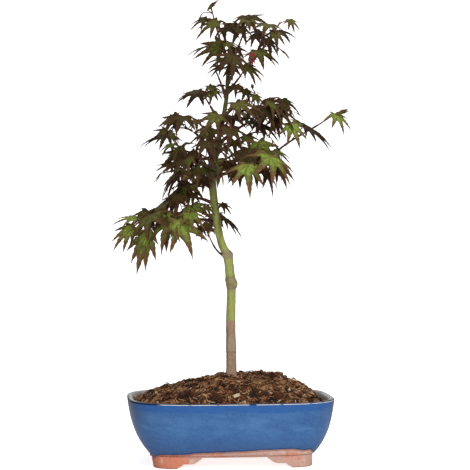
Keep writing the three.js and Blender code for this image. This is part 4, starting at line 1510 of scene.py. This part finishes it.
class BONSAI_OT_grow_foliage(bpy.types.Operator):
    """Grow twigs, leaf stalks, buds and lobed leaves from every bough's tip by the tree's own rule"""

    bl_idname = "bonsai.grow_foliage"
    bl_label = "Twigs and leaves"

    def execute(self, context):
        self.twigs = Heap()
        self.stalks = Heap()
        self.leaves = Heap()
        for row in BRANCHES:
            self.grow_mass(row)
        self.set_single_leaves()
        bark = context.scene.bonsai_bark
        twigs = self.twigs.build("twigs", [twig_finish("twig_bark", bark.twig, bark.twig_dark)], TREE_PLACE)
        stalk_finishes = [
            twig_finish("red_stalk", bark.stalk, srgb(104, 58, 42)),
            twig_finish("green_stalk", srgb(118, 112, 54), srgb(126, 84, 52)),
        ]
        stalks = self.stalks.build("leaf_stalks", stalk_finishes, TREE_PLACE)
        leaves = self.leaves.build("leaves", self.leaf_finishes(context.scene.bonsai_leaf), TREE_PLACE)
        smooth(twigs)
        smooth(stalks)
        smooth(leaves, 24)
        nodes = ["foliage_" + row.name for row in BRANCHES]
        hand_over(twigs, "young_bark", *nodes)
        hand_over(stalks, "young_bark", *nodes)
        hand_over(leaves, "leaves", *nodes)
        return {"FINISHED"}

    def leaf_finishes(self, leaf):
        finishes = []
        for tone in LEAF_TINTS:
            colours = [getattr(leaf, f"{zone}_{tone}") for zone in ZONES]
            for zone, colour, next_colour in zip(ZONES, colours, colours[1:] + colours[2:3]):
                finishes.append(leaf_finish(f"leaf_{zone}_{tone}", colour, next_colour))
        finishes.append(leaf_finish("leaf_young_red", leaf.young_red, scaled(leaf.young_red, 0.6)))
        return finishes

    def grow_mass(self, row):
        roll = dice(row.seed + SPRAY_SEEDS)
        steps = row.pairs * 4
        line = twig_line(row, steps)
        radii = [STEM_FOOT + (STEM_TIP - STEM_FOOT) * k / steps for k in range(steps + 1)]
        for k in range(4, steps + 1, 4):
            radii[k] += JOINT_SWELL
        self.twigs.tube(line, radii, 7, 0)
        self.bud(line[-1], (line[-1] - line[-2]).normalized())
        for k, leaf in enumerate(grow_leaves(row)):
            if k not in row.bare:
                self.hang_leaf(leaf, self.tone(row, roll), roll)

    def set_single_leaves(self):
        """Hangs each single leaf on a stalk from the nearest wood behind it."""
        roll = dice(SINGLE_SEED)
        wood = [spine_at(float(z)) for z in range(270, 481, 6)]
        for row in BRANCHES:
            if row.tip:
                wood += spaced(bough_path(row), 12)[4:]
            wood += twig_line(row, row.pairs * 3)
        for base, heading, droop, lean, size, tone, spread in SINGLE_LEAVES:
            end = Vector(base)
            out = level_way(math.radians(heading))
            foot = min(wood, key=lambda spot: self.reach_cost(spot, end, out, size))
            leaf = Leaf(foot, end, size, math.radians(droop), math.radians(lean), out)
            self.hang_leaf(leaf, TONES.index(tone), roll, spread)

    def reach_cost(self, spot, end, out, size):
        """A stalk is best about half as long as its leaf, and comes from behind or below the blade."""
        way = end - spot
        ahead = max(0, -way.dot(out)) * 1.5
        above = max(0, -way.z) * 0.7
        return abs(way.length - 0.45 * size) + ahead + above

    def bud(self, foot, way):
        self.twigs.tube([foot, foot + way * 1.6, foot + way * 4.2], [0.9, 1.15, 0.12], 5, 0)

    def tone(self, row, roll):
        """A leaf's number in TONES: green or olive in the row's bright share, otherwise olive or bronze."""
        if roll() < row.bright:
            return 0 if roll() < 0.6 else 1
        return 1 if roll() < 0.35 else 2

    def hang_leaf(self, leaf, tone, roll, spread=1.0):
        run = (leaf.end - leaf.node).length
        sag = bow(leaf.node, leaf.end, 0.08 * run)
        line = [sag(t) for t in (0, 0.25, 0.5, 0.75, 1)] + [leaf.end + leaf.rib * (leaf.size * 0.05)]
        thick = 0.62 if run < LONG_STALK else 0.8
        red = 1 if tone == 0 and roll() < 0.5 else 0
        self.stalks.tube(line, [thick * 1.3, thick, thick * 0.9, thick * 0.9, thick, 0.3], 5, red)
        points, faces, zones = blade(leaf.size, roll, spread)
        lie = Matrix((leaf.rib, leaf.across, leaf.face)).transposed()
        sorts = [min(12, tone * len(ZONES) + zone) for zone in zones]
        self.leaves.add([leaf.end + lie @ p for p in points], faces, sorts)


class BONSAI_OT_set_stage(bpy.types.Operator):
    """Lay the pale floor and backdrop, and set the lights and the camera at the photograph's angle"""

    bl_idname = "bonsai.set_stage"
    bl_label = "Stage, lights and camera"

    def execute(self, context):
        stage = context.scene.bonsai_stage
        self.lay_floor(stage)
        self.set_lights(context)
        self.set_camera(context, stage)
        return {"FINISHED"}

    def lay_floor(self, stage):
        """A sheet of floor drawn up behind into a backdrop."""
        floor = start(bpy.ops.mesh.primitive_plane_add, size=1)
        floor.name = "studio_floor"
        bpy.ops.transform.resize(value=FLOOR_SIZE, center_override=(0, 0, 0))
        bpy.ops.transform.translate(value=FLOOR_SHIFT)
        select(floor, "VERT", lambda point: point.co.y > 1)
        bpy.ops.mesh.extrude_region_move(TRANSFORM_OT_translate={"value": BACKDROP_RISE})
        select(floor, "EDGE", lambda edge: all(p.co.y > 1 and p.co.z < 1 for p in edge.verts))
        bpy.ops.mesh.bevel(offset=1.2, segments=12, affect="EDGES")
        leave()
        smooth(floor)
        dress(floor, self.floor_finish(stage))

    def floor_finish(self, stage):
        """Faintly mottled white paper that glows to the camera."""
        made = Finish("studio_white", Specular_IOR_Level=0.1, Emission_Strength=1)
        made.set("Emission Color", made.blend(made.seen(), (AIR_LIGHT,) * 3, (FLOOR_GLOW,) * 3))
        paper = made.noise(made.place(), 3, 2) * 0.1
        return made.surface(made.blend(paper, stage.floor, scaled(stage.floor, 0.97)), 0.9)

    def area_light(self, name, place, aim, size, power):
        clear_selection()
        way = (Vector(aim) - Vector(place)).to_track_quat("-Z", "Y")
        bpy.ops.object.light_add(type="AREA", location=place, rotation=way.to_euler())
        lamp = bpy.context.object
        lamp.name = name
        lamp.data.size = size
        lamp.data.energy = power

    def set_lights(self, context):
        """Air that is white to the camera and dim to the plant, and the soft lights."""
        world = bpy.data.worlds.new("studio_air")
        world.use_nodes = True
        tree = world.node_tree
        air = tree.nodes["Background"]
        air.inputs["Color"].default_value = (1, 1, 1, 1)
        seen = tree.nodes.new("ShaderNodeLightPath")
        strength = tree.nodes.new("ShaderNodeMapRange")
        strength.inputs["To Min"].default_value = AIR_LIGHT
        strength.inputs["To Max"].default_value = 1
        tree.links.new(seen.outputs["Is Camera Ray"], strength.inputs["Value"])
        tree.links.new(strength.outputs["Result"], air.inputs["Strength"])
        context.scene.world = world
        for light in LIGHTS:
            self.area_light(*light)

    def set_camera(self, context, stage):
        """The camera stands level in front of the pot, turned with the tree."""
        view = Vector((-math.sin(TREE_TURN), math.cos(TREE_TURN), 0))
        right = Vector((view.y, -view.x, 0))
        place = Vector((POT_MIDDLE.x, POT_MIDDLE.y, 0)) - view * stage.distance + right * stage.eye_side
        place.z = stage.eye_height
        clear_selection()
        bpy.ops.object.camera_add(location=place, rotation=(math.pi / 2, 0, TREE_TURN))
        camera = bpy.context.object
        camera.name = "camera"
        camera.data.lens = stage.lens
        camera.data.sensor_width = 36
        context.scene.camera = camera
        context.scene.view_settings.view_transform = "Standard"


class BONSAI_PT_panel(bpy.types.Panel):
    bl_label = "Potted maple bonsai"
    bl_idname = "BONSAI_PT_panel"
    bl_space_type = "VIEW_3D"
    bl_region_type = "UI"
    bl_category = "Bonsai"

    def draw(self, context):
        for operator in OPERATORS:
            self.layout.operator(operator.bl_idname)
        for holder in SETTINGS:
            box = self.layout.box()
            group = getattr(context.scene, holder)
            for name in group.__annotations__:
                box.prop(group, name)


SETTINGS = {
    "bonsai_pot": BonsaiPotSettings,
    "bonsai_soil": BonsaiSoilSettings,
    "bonsai_bark": BonsaiBarkSettings,
    "bonsai_leaf": BonsaiLeafSettings,
    "bonsai_stage": BonsaiStageSettings,
}
OPERATORS = (
    BONSAI_OT_set_stage,
    BONSAI_OT_make_pot,
    BONSAI_OT_heap_soil,
    BONSAI_OT_grow_trunk,
    BONSAI_OT_grow_boughs,
    BONSAI_OT_grow_foliage,
)
CLASSES = (*SETTINGS.values(), *OPERATORS, BONSAI_PT_panel)


def register():
    for made in CLASSES:
        bpy.utils.register_class(made)
    for holder, group in SETTINGS.items():
        setattr(bpy.types.Scene, holder, bpy.props.PointerProperty(type=group))


def unregister():
    for holder in SETTINGS:
        delattr(bpy.types.Scene, holder)
    for made in reversed(CLASSES):
        bpy.utils.unregister_class(made)


def main():
    register()
    bpy.ops.bonsai.set_stage()
    bpy.ops.bonsai.make_pot()
    bpy.ops.bonsai.heap_soil()
    bpy.ops.bonsai.grow_trunk()
    bpy.ops.bonsai.grow_boughs()
    bpy.ops.bonsai.grow_foliage()


if __name__ == "__main__":
    main()
